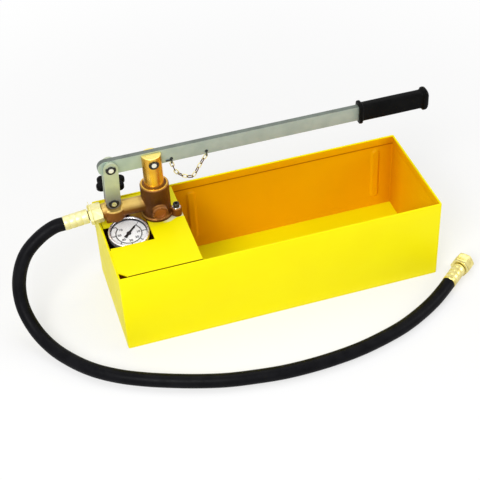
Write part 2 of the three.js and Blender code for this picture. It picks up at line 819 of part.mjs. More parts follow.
// Lever: flat bar with a round rear end, in the frame of its own pivot
function leverBar() {
  const half = leverHeight / 2;
  const shape = new THREE.Shape();
  const endX = -leverBack + leverEndRadius;
  shape.moveTo(leverReach - leverCorner, -half);
  shape.lineTo(leverReach, -half + leverCorner);
  shape.lineTo(leverReach, half - leverCorner);
  shape.lineTo(leverReach - leverCorner, half);
  const rise = half - leverEndRadius;
  shape.absarc(endX, rise, leverEndRadius, quarterTurn, 2 * quarterTurn);
  shape.absarc(endX, -rise, leverEndRadius, 2 * quarterTurn, 3 * quarterTurn);
  const [front, back] = [-leverThickness / 2, leverThickness / 2];
  const bar = uprightPrism(shape, front, back);
  const [low, high] = [front - overrun, back + overrun];
  const slotRadius = pinRadius + pivotLift;
  const slotWidth = 2 * (slotRadius + pivotSlide);
  const slot = roundedRectangle(slotWidth, 2 * slotRadius, slotRadius, armLength, 0);
  return cut(
    bar,
    rod('y', pinRadius + pinGap, low, high, 0, 0, smallSides),
    uprightPrism(slot, low, high),
    rod('y', ringHole, low, high, ringLeft, -ringHoleDrop, smallSides),
    rod('y', ringHole, low, high, ringRight, -ringHoleDrop, smallSides),
  );
}

// Grip: a flat black sleeve with a flange at each end and a domed tip, pushed over the bar
function leverGrip() {
  const along = (geometry, start) => {
    geometry.rotateZ(quarterTurn);
    geometry.rotateY(quarterTurn);
    geometry.translate(start, 0, 0);
    return toSolid(geometry);
  };
  const over = 2 * gripFlangeOver;
  const sleeve = roundedRectangle(gripHeight, gripWidth, gripCorner);
  const flange = roundedRectangle(gripHeight + over, gripWidth + over, gripCorner + gripFlangeOver);
  const body = along(prism(sleeve, 0, gripLength), gripStart);
  const near = along(prism(flange, 0, gripFlange), gripStart);
  const far = along(prism(flange, 0, gripFlange), gripStart + gripLength - gripFlange);
  const dome = new THREE.SphereGeometry(1, smallSides, smallSides / 2);
  dome.scale(gripDome, (gripWidth + over) / 2, (gripHeight + over) / 2);
  const tip = placed(dome, gripStart + gripLength, 0, 0);
  const room = leverThickness / 2 + gripPocketGap;
  const roomHeight = leverHeight / 2 + gripPocketGap;
  const pocket = block(gripStart - overrun, leverReach + gripPocketGap, -room, room, -roomHeight, roomHeight);
  return cut(join(body, near, far, tip), pocket);
}

// Link plate between the two pins, side is -1 in front of the lever and 1 behind it
function linkPlate(side) {
  const shape = new THREE.Shape();
  const angle = Math.atan2(linkBottomZ - leverZ, linkBottomX - linkTopX);
  const radius = linkWidth / 2;
  shape.absarc(linkTopX, leverZ, radius, angle + quarterTurn, angle + 3 * quarterTurn);
  shape.absarc(linkBottomX, linkBottomZ, radius, angle - quarterTurn, angle + quarterTurn);
  const [near, far] = [leverY + side * linkInner, leverY + side * linkOuter];
  const [front, back] = [Math.min(near, far), Math.max(near, far)];
  const [low, high] = [front - overrun, back + overrun];
  return cut(
    uprightPrism(shape, front, back, 2 * bendSteps),
    rod('y', pinRadius + pinGap, low, high, linkTopX, leverZ, smallSides),
    rod('y', pinRadius + pinGap, low, high, linkBottomX, linkBottomZ, smallSides),
  );
}

function linkPin() {
  const reach = linkOuter + pinGap + pinStickOut;
  return pin(pinRadius, -reach, reach);
}

function addClips(group, name, reach, centre) {
  const clearance = reach + pinGap;
  addPiece(group, `${name}_front`, retainingClip(centre - clearance - clipThickness), ...blackSteel);
  addPiece(group, `${name}_rear`, retainingClip(centre + clearance), ...blackSteel);
}

function hexNut(axis, flats, low, high, bore, chamfer) {
  const corner = flats / Math.sqrt(3);
  const crown = toSolid(turned([
    [0, low], [corner - chamfer, low], [corner, low + chamfer],
    [corner, high - chamfer], [corner - chamfer, high], [0, high],
  ], axis));
  const hex = hexagon(axis, flats, low, high);
  return cut(hex.intersect(crown), rod(axis, bore, low - overrun, high + overrun));
}

function knobSolid() {
  const lobes = [];
  const lobeCount = hexSides;
  for (let k = 0; k < lobeCount; k += 1) {
    const angle = (fullTurn * k) / lobeCount;
    const reach = knobRadius + knobLobe - knobLobeRadius;
    const [x, y] = [reach * Math.cos(angle), reach * Math.sin(angle)];
    lobes.push(rod('z', knobLobeRadius, 0, knobHeight, x, y, smallSides));
  }
  const disc = rod('z', knobRadius - pinGap - knobLobe / 2, 0, knobHeight);
  const hub = rod('z', knobHubRadius, 0, knobHeight + knobHubRise);
  const hole = rod('z', spindleTopRadius + pinGap, -overrun, knobHeight, 0, 0, smallSides);
  return cut(join(disc, hub, ...lobes), hole);
}

// Socket-headed bolt of the casting, its seat at the given height
function castingBolt([x, y, top]) {
  const seat = top + boltWasher;
  const shankEnd = plateBottom - weldNutHeight - boltEnd;
  const socketLow = seat + boltHead - boltSocketDepth;
  return cut(
    join(
      rod('z', boltHeadRadius, seat, seat + boltHead, x, y, smallSides),
      rod('z', boltRadius, shankEnd, seat + overrun, x, y, smallSides),
    ),
    hexagon('z', boltSocketFlats, socketLow, seat + boltHead + overrun, x, y),
  );
}

function castingWasher([x, y, top]) {
  return placed(ring(boltRadius + boltGap, boltWasherRadius, top, top + boltWasher, smallSides), x, y, 0);
}

function cylinderNut() {
  const low = plateBottom - cylinderNutHeight;
  const body = rod('z', cylinderNutRadius, low, plateBottom);
  const bore = rod('z', cylinderNeckRadius + pinGap, low - overrun, plateBottom + overrun);
  const reach = cylinderNutRadius - cylinderNutNotch;
  const half = cylinderNutNotchWidth / 2;
  const [notchLow, notchHigh] = [low - overrun, plateBottom + overrun];
  const far = cylinderNutRadius + overrun;
  return cut(
    body,
    bore,
    block(reach, far, -half, half, notchLow, notchHigh),
    block(-far, -reach, -half, half, notchLow, notchHigh),
    block(-half, half, reach, far, notchLow, notchHigh),
    block(-half, half, -far, -reach, notchLow, notchHigh),
  );
}

function buildTank() {
  addPiece(pump, 'tank_shell', tankShell(), ...paint);
  addPiece(pump, 'deck_rail_front', deckRail(-1, plateTop), ...paint);
  addPiece(pump, 'deck_rail_rear', deckRail(1, plateBottom), ...paint);
  addPiece(pump, 'deck_cover', deckCover(), ...paint);
  addPiece(pump, 'pump_plate', pumpPlate(), ...paint);
}

function buildCylinder() {
  addPiece(pump, 'pump_body', pumpBody(), ...castBrass);
  const cylinder = new THREE.Group();
  cylinder.position.set(pumpX, pumpY, 0);
  pump.add(cylinder);
  addPiece(cylinder, 'cylinder_nut', cylinderNut(), ...turnedBrass);
  const sealInner = pistonRadius + pistonGap;
  const sealOuter = sealInner + sealSection;
  const sealMiddle = rimZ - sealBelowRim;
  const sealLow = sealMiddle - sealHeight / 2;
  const seal = ring(sealInner, sealOuter, sealLow, sealLow + sealHeight);
  addPiece(cylinder, 'piston_seal', toSolid(seal), ...rubber);
  addPiece(cylinder, 'wiper_ring', toSolid(ring(sealInner, sealOuter, rimZ - wiperHeight, rimZ)), ...rubber);
  const frontFace = pumpY - cylinderRadius - frontBossProud;
  const plugFront = frontFace + frontPlugSunk;
  const plugBack = plugFront + frontPlugDepth;
  const plug = rod('y', frontPlugRadius, plugFront, plugBack, pumpX, plateTop + frontBossRise);
  addPiece(pump, 'front_plug', plug, ...castBrass);
  boltPlaces.forEach((place, k) => {
    addPiece(pump, `casting_bolt_${boltNames[k]}`, castingBolt(place), ...blackSteel);
    addPiece(pump, `casting_washer_${boltNames[k]}`, castingWasher(place), ...steel);
  });
}

function buildSuctionSide() {
  const suction = new THREE.Group();
  suction.position.set(pumpX, pumpY, cylinderBottom);
  pump.add(suction);
  const bore = rod('z', bushBore, -bushHead - overrun, bushLength + overrun, 0, 0, smallSides);
  const socketTop = bushTubeDepth - bushHead;
  const tubeSocket = rod('z', tubeRadius + pinGap, -bushHead - overrun, socketTop, 0, 0, smallSides);
  addPiece(suction, 'suction_bush', cut(
    join(hexagon('z', bushFlats, -bushHead, 0), rod('z', bushRadius, -overrun, bushLength)),
    bore,
    tubeSocket,
  ), ...turnedBrass);
  const ball = new THREE.SphereGeometry(suctionBallRadius, smallSides, smallSides / 2);
  addPiece(suction, 'suction_ball', placed(ball, 0, 0, suctionBallZ()), ...steel);
  const tubeTop = bushTubeDepth - bushHead - pinGap;
  const tubeLow = strainerLift + strainerHeight / 2 - cylinderBottom;
  const tube = ring(tubeRadius - tubeWall, tubeRadius, tubeLow, tubeTop, smallSides);
  addPiece(suction, 'suction_tube', toSolid(tube), ...turnedBrass);
  addPiece(suction, 'suction_strainer', strainer(), ...steel);
}

function strainer() {
  const low = strainerLift - cylinderBottom;
  const high = low + strainerHeight;
  const inner = strainerRadius - strainerWall;
  const hole = tubeRadius + pinGap;
  const cup = turned([
    [0, low], [strainerRadius, low], [strainerRadius, high], [hole, high], [hole, high - strainerWall],
    [inner, high - strainerWall], [inner, low + strainerWall], [0, low + strainerWall],
  ], 'z', smallSides);
  const slots = [];
  for (let k = 0; k < strainerSlotCount / 2; k += 1) {
    const slot = new THREE.BoxGeometry(
      2 * strainerRadius + 2 * overrun, strainerSlot, strainerHeight - 4 * strainerWall,
    );
    slot.rotateZ((fullTurn * k) / strainerSlotCount + Math.PI / strainerSlotCount);
    slots.push(placed(slot, 0, 0, (low + high) / 2));
  }
  return cut(toSolid(cup), ...slots);
}

// Delivery valve in the left body: a plug below, then the feed, the seat and its ball
function buildDelivery() {
  const delivery = new THREE.Group();
  delivery.position.set(bodyX, pumpY, 0);
  pump.add(delivery);
  const plugTop = bodyBottom + pocketPlugLength;
  const half = pocketPlugSlot / 2;
  addPiece(delivery, 'delivery_plug', cut(
    rod('z', seatRadius, bodyBottom, plugTop, 0, 0, smallSides),
    block(-pocketRadius, pocketRadius, -half, half, bodyBottom - overrun, bodyBottom + pocketPlugSlot),
  ), ...turnedBrass);
  const seatTop = seatZ + seatLength;
  addPiece(delivery, 'delivery_seat', toSolid(ring(seatBore, seatRadius, seatZ, seatTop, smallSides)),
    ...turnedBrass);
  const ballZ = seatTop + Math.sqrt(deliveryBallRadius ** 2 - seatBore ** 2) + pinGap;
  const ball = new THREE.SphereGeometry(deliveryBallRadius, smallSides, smallSides / 2);
  addPiece(delivery, 'delivery_ball', placed(ball, 0, 0, ballZ), ...steel);
}

function buildPlunger() {
  addPiece(pump, 'piston', pistonSolid(), ...turnedBrass);
  const plunger = new THREE.Group();
  plunger.position.set(pumpX, 0, leverZ);
  pump.add(plunger);
  addPiece(plunger, 'piston_pin', pistonPinSolid(), ...steel);
  addClips(plunger, 'piston_pin_clip', pistonRadius, pumpY);
}

function buildLinks() {
  addPiece(pump, 'link_plate_front', linkPlate(-1), ...zinc);
  addPiece(pump, 'link_plate_rear', linkPlate(1), ...zinc);
  const top = new THREE.Group();
  top.position.set(linkTopX, leverY, leverZ);
  pump.add(top);
  addPiece(top, 'link_top_pin', linkPin(), ...steel);
  addClips(top, 'link_top_clip', linkOuter, 0);
  const bottom = new THREE.Group();
  bottom.position.set(linkBottomX, leverY, linkBottomZ);
  pump.add(bottom);
  addPiece(bottom, 'link_bottom_pin', linkPin(), ...steel);
  addClips(bottom, 'link_bottom_clip', linkOuter, 0);
}

// Ring through one of the lever's lower holes, its plane across the lever
function chainRing(x) {
  const geometry = wireOval(0, ringRadius, ringWire);
  geometry.rotateZ(quarterTurn);
  return placed(geometry, x, 0, ringCentreZ());
}

function ringCentreZ() {
  return -ringHoleDrop - ringRadius + ringHole - ringWire - pinGap;
}

function buildLever() {
  const lever = new THREE.Group();
  lever.position.set(linkTopX, leverY, leverZ);
  pump.add(lever);
  addPiece(lever, 'lever_bar', leverBar(), ...zinc);
  addPiece(lever, 'lever_grip', leverGrip(), ...blackPlastic);
  addPiece(lever, 'chain_ring', chainRing(ringRight), ...blackSteel);
  const wireFront = -leverThickness / 2 - pinGap - lockWire;
  const wire = rod('x', lockWire, ringLeft - lockWireLength, ringLeft, wireFront, -lockWireDrop, smallSides);
  addPiece(lever, 'lock_pin', join(chainRing(ringLeft), wire), ...blackSteel);
  addPiece(lever, 'chain', chain(), ...paleBrass);
}

// Chain: oval links down a hanging curve between the two rings, each a quarter turn from the last
function chain() {
  const pitch = 2 * (chainLinkHalf + chainLinkBend - chainWire) + chainGrip;
  const overlap = chainLinkHalf + chainLinkBend - pitch / 2;
  const grasp = ringWire + chainWire + chainHang - overlap;
  let [low, high] = [0, pitch * chainLinkCount];
  for (let k = 0; k < searchSteps; k += 1) {
    const middle = (low + high) / 2;
    if (chainJoints(middle, grasp, pitch).length <= chainLinkCount) low = middle;
    else high = middle;
  }
  const joints = chainJoints(high, grasp, pitch);
  const links = [];
  for (let k = 0; k < chainLinkCount; k += 1) {
    const [near, far] = [joints[k], joints[k + 1]];
    const geometry = wireOval(chainLinkHalf, chainLinkBend, chainWire);
    if (k % 2 === 1) geometry.rotateX(quarterTurn);
    geometry.rotateY(-Math.atan2(far.z - near.z, far.x - near.x));
    links.push(placed(geometry, (near.x + far.x) / 2, 0, (near.z + far.z) / 2));
  }
  return join(...links);
}

// Points where the links meet, one pitch apart along the curve of a given sag
function chainJoints(sag, grasp, pitch) {
  const hangZ = ringCentreZ() - ringRadius;
  const points = chainBend.map(([along, drop]) => (
    new THREE.Vector3(ringLeft + (ringRight - ringLeft) * along, 0, hangZ - sag * drop)
  ));
  const past = (end, next) => end.clone().add(end.clone().sub(next).setLength(grasp));
  points.unshift(past(points[0], points[1]));
  points.push(past(points[points.length - 1], points[points.length - 2]));
  const joints = [points[0]];
  for (const point of new THREE.CatmullRomCurve3(points).getPoints(chainSearchSteps)) {
    if (point.distanceTo(joints[joints.length - 1]) >= pitch) joints.push(point);
  }
  return joints;
}

function buildShutOffValve() {
  const valve = new THREE.Group();
  valve.position.set(valveX, valveY, valveBossTop);
  pump.add(valve);
  const gland = hexNut('z', glandFlats, 0, glandHeight, spindleRadius + pinGap, pinChamfer);
  addPiece(valve, 'valve_gland_nut', gland, ...turnedBrass);
  const shoulder = glandHeight + knobStand;
  const low = shoulder - spindleLength;
  const top = shoulder + knobHeight;
  const tipLow = low - spindleTipReach;
  const tipTop = low + discLiftRoom;
  addPiece(valve, 'valve_spindle', toSolid(turned([
    [0, tipLow], [spindleTipRadius, tipLow], [spindleTipRadius, tipTop], [spindleRadius, tipTop],
    [spindleRadius, shoulder], [spindleTopRadius, shoulder], [spindleTopRadius, top], [0, top],
  ], 'z', smallSides)), ...turnedBrass);
  const discTop = low - pinGap;
  const disc = ring(spindleTipRadius + pinGap, discRadius, discTop - discHeight, discTop, smallSides);
  addPiece(valve, 'valve_disc', toSolid(disc), ...rubber);
  const knob = addPiece(valve, 'star_knob', knobSolid(), ...blackPlastic);
  knob.position.set(0, 0, shoulder + pinGap);
  knob.rotation.z = THREE.MathUtils.degToRad(15);
}

function buildGauge() {
  const gauge = gaugeFrame();
  pump.add(gauge);
  const caseTop = -bezelLipHeight - glassThickness - 2 * pinGap;
  const socketHalf = gaugeSocketSize / 2;
  const caseInner = gaugeCaseRadius - gaugeWall;
  const port = rod('y', socketHalf + pinGap, 0, gaugeCaseRadius + overrun, 0, -gaugePortDepth, smallSides);
  addPiece(gauge, 'gauge_case', cut(toSolid(turned([
    [0, -gaugeCaseDepth], [gaugeCaseRadius, -gaugeCaseDepth], [gaugeCaseRadius, caseTop],
    [caseInner, caseTop], [caseInner, gaugeWall - gaugeCaseDepth], [0, gaugeWall - gaugeCaseDepth],
  ])), port), ...steel);
  const bezelInner = gaugeCaseRadius + pinGap;
  const lipInner = bezelRadius - bezelLip;
  addPiece(gauge, 'gauge_bezel', toSolid(turned([
    [bezelInner, -bezelHeight], [bezelRadius, -bezelHeight], [bezelRadius, -pinChamfer],
    [bezelRadius - pinChamfer, 0], [lipInner, 0], [lipInner, -bezelLipHeight], [bezelInner, -bezelLipHeight],
    [bezelInner, -bezelHeight],
  ])), ...steel);
  const glassTop = -bezelLipHeight - pinGap;
  const glass = rod('z', gaugeCaseRadius - pinGap, glassTop - glassThickness, glassTop);
  addPiece(gauge, 'gauge_glass', glass, ...clear);
  const dialRadius = caseInner - dialEdge;
  const dial = ring(pointerSpindle + pinGap, dialRadius, -dialDrop - dialThickness, -dialDrop);
  addPiece(gauge, 'gauge_dial', toSolid(dial), ...white);
  buildPointer(gauge);
  buildGaugeWorks(gauge);
}

function buildPointer(gauge) {
  const low = -dialDrop + pointerLift;
  const high = low + pointerThickness;
  const half = pointerWidth / 2;
  const blade = toSolid(prism(outlineOf([
    [-pointerTail, -half * 2], [0, -half * 2], [pointerLength, -half / 2], [pointerLength, half / 2],
    [0, half * 2], [-pointerTail, half * 2],
  ]), low, high));
  const hub = rod('z', pointerHub, low, high, 0, 0, smallSides);
  const stemLow = -dialDrop - dialThickness - pointerLift;
  const stem = rod('z', pointerSpindle, stemLow, high, 0, 0, smallSides);
  const pointer = addPiece(gauge, 'gauge_pointer', join(blade, hub, stem), ...blackSteel);
  pointer.rotation.z = THREE.MathUtils.degToRad(45);
}

// Inside the gauge: socket with its block, the bent pressure tube and the movement under the dial
function buildGaugeWorks(gauge) {
  const socketHalf = gaugeSocketSize / 2;
  const blockFront = bourdonRadius - bourdonSection;
  const stemBack = gaugeBossFrontInGauge();
  const works = -gaugePortDepth;
  const blockDepth = socketHalf - pinGap;
  const caseInside = gaugeCaseRadius - gaugeWall;
  const stem = join(
    block(-socketHalf / 2, socketHalf / 2, blockFront + 2 * bourdonSection + pinGap, gaugeCaseRadius,
      works - blockDepth / 2, works + blockDepth / 2),
    rod('y', socketHalf - pinGap, caseInside, stemBack - gaugeShoulderGap, 0, works, smallSides),
    rod('y', gaugeStubRadius, gaugeCaseRadius, stemBack + gaugeStubLength, 0, works, smallSides),
  );
  addPiece(gauge, 'gauge_stem', stem, ...turnedBrass);
  const arc = new THREE.Shape();
  const start = quarterTurn;
  arc.absarc(0, 0, bourdonRadius + bourdonSection, start, start + 3 * quarterTurn);
  arc.absarc(0, 0, bourdonRadius, start + 3 * quarterTurn, start, true);
  const tubeLow = works - bourdonSection;
  const tube = toSolid(prism(arc, tubeLow, works + bourdonSection, 2 * bendSteps));
  addPiece(gauge, 'gauge_pressure_tube', tube, ...turnedBrass);
  const standTop = -dialDrop - dialThickness - pointerLift - pinGap;
  const half = movementSize / 2;
  const floor = gaugeWall - gaugeCaseDepth + pinGap;
  addPiece(gauge, 'gauge_movement', join(
    block(-half, half, -half, half, standTop - movementHeight, standTop),
    rod('z', half / 2, floor, standTop - movementHeight + overrun, 0, 0, smallSides),
  ), ...turnedBrass);
}

function gaugeBossFrontInGauge() {
  return (gaugeBossFront() - gaugeY) / Math.cos(gaugeTilt) - gaugePortDepth * Math.sin(gaugeTilt);
}

// Fittings of one hose end along +X: nut, tail and ferrule; the hose starts at the ferrule's far end
function hoseFittings(group, prefix, nutName, nutStart, nutLength) {
  const nutEnd = nutStart + nutLength;
  const boreEnd = nutStart + hoseNutBoreDepth;
  addPiece(group, nutName, cut(
    hexNut('x', hoseNutFlats, nutStart, nutEnd, tailNeckRadius + pinGap, hoseNutChamfer),
    rod('x', hoseNutBore, nutStart - overrun, boreEnd),
  ), ...paleBrass);
  const ferruleStart = nutEnd + ferruleGap;
  const ferruleEnd = ferruleStart + ferruleLength;
  const flangeEnd = boreEnd - pinGap;
  const flangeStart = flangeEnd - tailFlangeLength;
  addPiece(group, `${prefix}_tail`, toSolid(turned([
    [tailBore, flangeStart], [tailFlangeRadius, flangeStart], [tailFlangeRadius, flangeEnd],
    [tailNeckRadius, flangeEnd], [tailNeckRadius, ferruleStart - pinGap], [tailRadius, ferruleStart - pinGap],
    [tailRadius, ferruleEnd - pinGap], [tailBore, ferruleEnd - pinGap], [tailBore, flangeStart],
  ], 'x', smallSides)), ...paleBrass);
  const inner = tailRadius + pinGap;
  const step = ferruleLength / (ferruleGrooves + 1);
  const waist = ferruleRadius - ferruleGroove;
  const profile = [[inner, ferruleStart], [waist, ferruleStart], [ferruleRadius, ferruleStart + ferruleRim]];
  for (let k = 1; k <= ferruleGrooves; k += 1) {
    const middle = ferruleStart + step * k;
    profile.push([ferruleRadius, middle - ferruleRim], [waist, middle], [ferruleRadius, middle + ferruleRim]);
  }
  profile.push([ferruleRadius, ferruleEnd - ferruleRim], [waist, ferruleEnd]);
  profile.push([inner, ferruleEnd], [inner, ferruleStart]);
  addPiece(group, `${prefix}_ferrule`, toSolid(turned(profile, 'x', smallSides + bendSteps)), ...paleBrass);
  return ferruleEnd + pinGap;
}

function buildHose() {
  const outlet = outletFrame();
  pump.add(outlet);
  const hoseStart = hoseFittings(outlet, 'hose', 'hose_nut', outletBossReach + pinGap, hoseNutLength);

  const end = new THREE.Group();
  pump.add(end);
  const reach = hoseFittings(end, 'end', 'end_nut', 0, endNutLength);
  const [endX, endY] = hoseEnd;
  end.position.set(endX + reach * Math.cos(endHeading), endY + reach * Math.sin(endHeading), endLift);
  end.rotation.z = endHeading + Math.PI;
  const washerBack = hoseNutBoreDepth - tailFlangeLength - 2 * pinGap;
  const washerFront = washerBack - washerThickness;
  addPiece(end, 'end_washer', toSolid(turned([
    [tailBore, washerFront], [tailFlangeRadius, washerFront], [tailFlangeRadius, washerBack],
    [tailBore, washerBack], [tailBore, washerFront],
  ], 'x', smallSides)), ...rubber);

  const first = new THREE.Vector3(hoseStart, 0, 0).applyMatrix4(outlet.matrix);
  const second = new THREE.Vector3(hoseStart + hoseLead, 0, 0).applyMatrix4(outlet.matrix);
  const last = new THREE.Vector3(endX, endY, endLift);
  const lead = new THREE.Vector3(Math.cos(endHeading), Math.sin(endHeading), 0).multiplyScalar(hoseLead);
  const route = hoseRoute.map(([x, y, z]) => new THREE.Vector3(x, y, z));
  const path = new THREE.CatmullRomCurve3([first, second, ...route, last.clone().sub(lead), last]);
  const section = new THREE.Shape();
  section.absarc(0, 0, hoseRadius, 0, fullTurn);
  const settings = { steps: hoseSteps, curveSegments: hoseSides / 2, extrudePath: path, bevelEnabled: false };
  addPiece(pump, 'hose', toSolid(new THREE.ExtrudeGeometry(section, settings)), ...rubber);
}

buildTank();
buildCylinder();
buildSuctionSide();
buildDelivery();
buildPlunger();
buildLinks();
buildLever();
buildShutOffValve();
buildGauge();
buildHose();

export default pump;
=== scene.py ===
import json
import math

import bmesh
import bpy
from mathutils import Matrix, Vector


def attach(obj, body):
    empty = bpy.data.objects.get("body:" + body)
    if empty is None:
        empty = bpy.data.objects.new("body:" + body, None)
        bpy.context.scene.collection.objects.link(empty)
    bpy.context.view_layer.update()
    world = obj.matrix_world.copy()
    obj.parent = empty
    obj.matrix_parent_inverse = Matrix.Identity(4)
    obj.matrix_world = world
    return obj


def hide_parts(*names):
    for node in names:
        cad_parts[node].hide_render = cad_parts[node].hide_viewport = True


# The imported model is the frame. Lengths below are in millimetres unless they say otherwise.
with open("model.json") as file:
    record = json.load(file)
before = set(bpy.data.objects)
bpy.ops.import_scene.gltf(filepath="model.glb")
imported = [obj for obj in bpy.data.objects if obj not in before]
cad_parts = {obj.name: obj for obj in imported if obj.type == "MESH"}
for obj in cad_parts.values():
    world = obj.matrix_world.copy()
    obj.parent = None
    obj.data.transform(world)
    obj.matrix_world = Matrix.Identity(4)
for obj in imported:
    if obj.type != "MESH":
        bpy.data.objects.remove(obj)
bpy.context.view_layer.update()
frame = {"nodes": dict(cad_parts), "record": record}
NODES = frame["nodes"]

MM = 0.001
TAU = 2 * math.pi
HERE = Matrix.Identity(4)
TO_X = Matrix.Rotation(math.pi / 2, 4, "Y")
TO_Y = Matrix.Rotation(-math.pi / 2, 4, "X")
UPRIGHT = Matrix.Rotation(math.pi / 2, 4, "X")

# The camera's solution from the tank's edges: the focal length and the picture's width are in pixels
CAMERA_PLACE = Vector((-407.176, -1354.684, 1290.774))
CAMERA_TURN = (-15.065, 40.853, -3.259)
FOCAL, PICTURE = 1198.139, 480
SENSOR = 36

# Places that the solids fix
PUMP = Vector((-160, 36, 0))
LEVER = Vector((-222, 40, 240))
LINK_FOOT = Vector((-224.3, 40, 178.54))
PLATE_TOP = 138
RIM = 197
GAUGE = Matrix.Translation((-211.5, 7, 139.5)) @ Matrix.Rotation(math.radians(7), 4, "X")
OUTLET_DROP = math.radians(6.7)
OUTLET = (
    Matrix.Translation((-224.3, 36, 166.5))
    @ Matrix.Rotation(math.pi, 4, "Z")
    @ Matrix.Rotation(OUTLET_DROP, 4, "Y")
)
HOSE_RADIUS = 10.5
HOSE_START = 78.0
HOSE_LEAD = 14
HOSE_END = Vector((250, -137, 13.8))
END_HEADING = math.radians(40)
END_REACH = 61.1
END = (
    Matrix.Translation(HOSE_END + END_REACH * Vector((math.cos(END_HEADING), math.sin(END_HEADING), 0)))
    @ Matrix.Rotation(END_HEADING + math.pi, 4, "Z")
)
HOSE_ROUTE = [
    (-341, 33, 144), (-367, 25, 123), (-384, 11, 89), (-387, -8, 55),
    (-377, -35, 28), (-359, -68, 15), (-336, -100, 11), (-309, -130, 11), (-277, -154, 11), (-242, -173, 11),
    (-205, -189, 11), (-167, -203, 11), (-129, -214, 11), (-90, -221, 11), (-50, -226, 11), (-10, -227, 11),
    (30, -225, 11), (70, -220, 11), (109, -211, 11), (147, -199, 11), (183, -182, 11), (214, -164, 12),
]
TANK_HALF_X, TANK_HALF_Y, TANK_TOP = 250, 95, 140
SHEET = 1.5
CORNER = 3
RIBS = (219, -94)
RIB_FOOT, RIB_TOP, RIB_DEPTH = 28, 111, 2.5


def add_object(name, data):
    obj = bpy.data.objects.new(name, data)
    bpy.context.scene.collection.objects.link(obj)
    return obj


# ---------------------------------------------------------------- camera
def make_camera():
    azimuth, elevation, roll = (math.radians(degrees) for degrees in CAMERA_TURN)
    back = Vector((
        math.sin(azimuth) * math.cos(elevation),
        -math.cos(azimuth) * math.cos(elevation),
        math.sin(elevation),
    ))
    right = (-back).cross(Vector((0, 0, 1))).normalized()
    up = right.cross(-back)
    side = right * math.cos(roll) + up * math.sin(roll)
    top = up * math.cos(roll) - right * math.sin(roll)
    data = bpy.data.cameras.new("camera")
    data.sensor_width = SENSOR
    data.lens = SENSOR * FOCAL / PICTURE
    data.clip_end = 50
    camera = add_object("camera", data)
    turn = Matrix((side, top, back)).transposed().to_4x4()
    camera.matrix_world = Matrix.Translation(CAMERA_PLACE * MM) @ turn
    bpy.context.scene.camera = camera


# ---------------------------------------------------------------- mesh tools
def soften(obj, degrees=32):
    obj.data.shade_smooth()
    obj.data.set_sharp_from_angle(angle=math.radians(degrees))


def new_piece(name, points, faces, place=HERE):
    mesh = bpy.data.meshes.new(name)
    mesh.from_pydata([(place @ Vector(p)) * MM for p in points], [], faces)
    shape = bmesh.new()
    shape.from_mesh(mesh)
    bmesh.ops.recalc_face_normals(shape, faces=shape.faces)
    shape.to_mesh(mesh)
    shape.free()
    obj = add_object(name, mesh)
    soften(obj)
    return obj


def finished_mesh(obj):
    graph = bpy.context.evaluated_depsgraph_get()
    return bpy.data.meshes.new_from_object(obj.evaluated_get(graph))


def settle(obj):
    """Puts an object's modifiers into its mesh."""
    mesh = finished_mesh(obj)
    obj.modifiers.clear()
    obj.data = mesh
    return obj


def drop(obj):
    bpy.data.objects.remove(obj)


def carve(obj, *tools, how="DIFFERENCE"):
    for tool in tools:
        cut = obj.modifiers.new("cut", "BOOLEAN")
        cut.operation = how
        cut.solver = "EXACT"
        cut.object = tool
        settle(obj)
        drop(tool)
    soften(obj)
    return obj


def add_bevel(obj, width, degrees=35):
    edge = obj.modifiers.new("edge", "BEVEL")
    edge.width = width * MM
    edge.segments = 2
    edge.limit_method = "ANGLE"
    edge.angle_limit = math.radians(degrees)
    return obj


def bevel(obj, width, degrees=35):
    settle(add_bevel(obj, width, degrees))
    soften(obj)
    obj.modifiers.new("even", "WEIGHTED_NORMAL").keep_sharp = True
    return settle(obj)


def recolour(obj, look, wanted):
    """Gives a second look to the faces that wanted picks by their normal."""
    obj.data.materials.append(LOOKS[look])
    for face in obj.data.polygons:
        if wanted(face.normal):
            face.material_index = len(obj.data.materials) - 1
    return obj


def merge(name, *pieces):
    shape = bmesh.new()
    for piece in pieces:
        shape.from_mesh(piece.data)
    mesh = bpy.data.meshes.new(name)
    shape.to_mesh(mesh)
    shape.free()
    for piece in pieces:
        drop(piece)
    obj = add_object(name, mesh)
    soften(obj)
    return obj


def skin(name, loops, place=HERE, closed=False, inner_from=None):
    """Quads between loops of equally many points, with a flat face at each end unless it is closed."""
    count = len(loops[0])
    points = [p for loop in loops for p in loop]
    faces = []
    pairs = list(zip(range(len(loops)), range(1, len(loops))))
    if closed:
        pairs.append((len(loops) - 1, 0))
    for low, high in pairs:
        for k in range(count):
            turn = (k + 1) % count
            faces.append([low * count + k, low * count + turn, high * count + turn, high * count + k])
    if not closed:
        faces.append(list(range(count))[::-1])
        faces.append([len(points) - count + k for k in range(count)])
    obj = new_piece(name, points, faces, place)
    if inner_from is not None:
        for face in obj.data.polygons:
            face.material_index = int(min(face.vertices) >= inner_from * count)
    return obj


def lathe(name, profile, place=HERE, sides=96, closed=False):
    """A profile of (radius, height) turned about local Z, from axis to axis unless it is closed."""
    points, rings = [], []
    for radius, height in profile:
        first = len(points)
        if radius == 0:
            points.append((0, 0, height))
        else:
            points += [
                (radius * math.cos(TAU * k / sides), radius * math.sin(TAU * k / sides), height)
                for k in range(sides)
            ]
        rings.append(range(first, len(points)))
    pairs = list(zip(rings, rings[1:]))
    if closed:
        pairs.append((rings[-1], rings[0]))
    faces = []
    for low, high in pairs:
        for k in range(sides):
            corners = [
                low[k % len(low)], low[(k + 1) % len(low)],
                high[(k + 1) % len(high)], high[k % len(high)],
            ]
            face = list(dict.fromkeys(corners))
            if len(face) > 2:
                faces.append(face)
    return new_piece(name, points, faces, place)


def slab(name, outline, low, high, place=HERE):
    return skin(name, [[(x, y, z) for x, y in outline] for z in (low, high)], place)


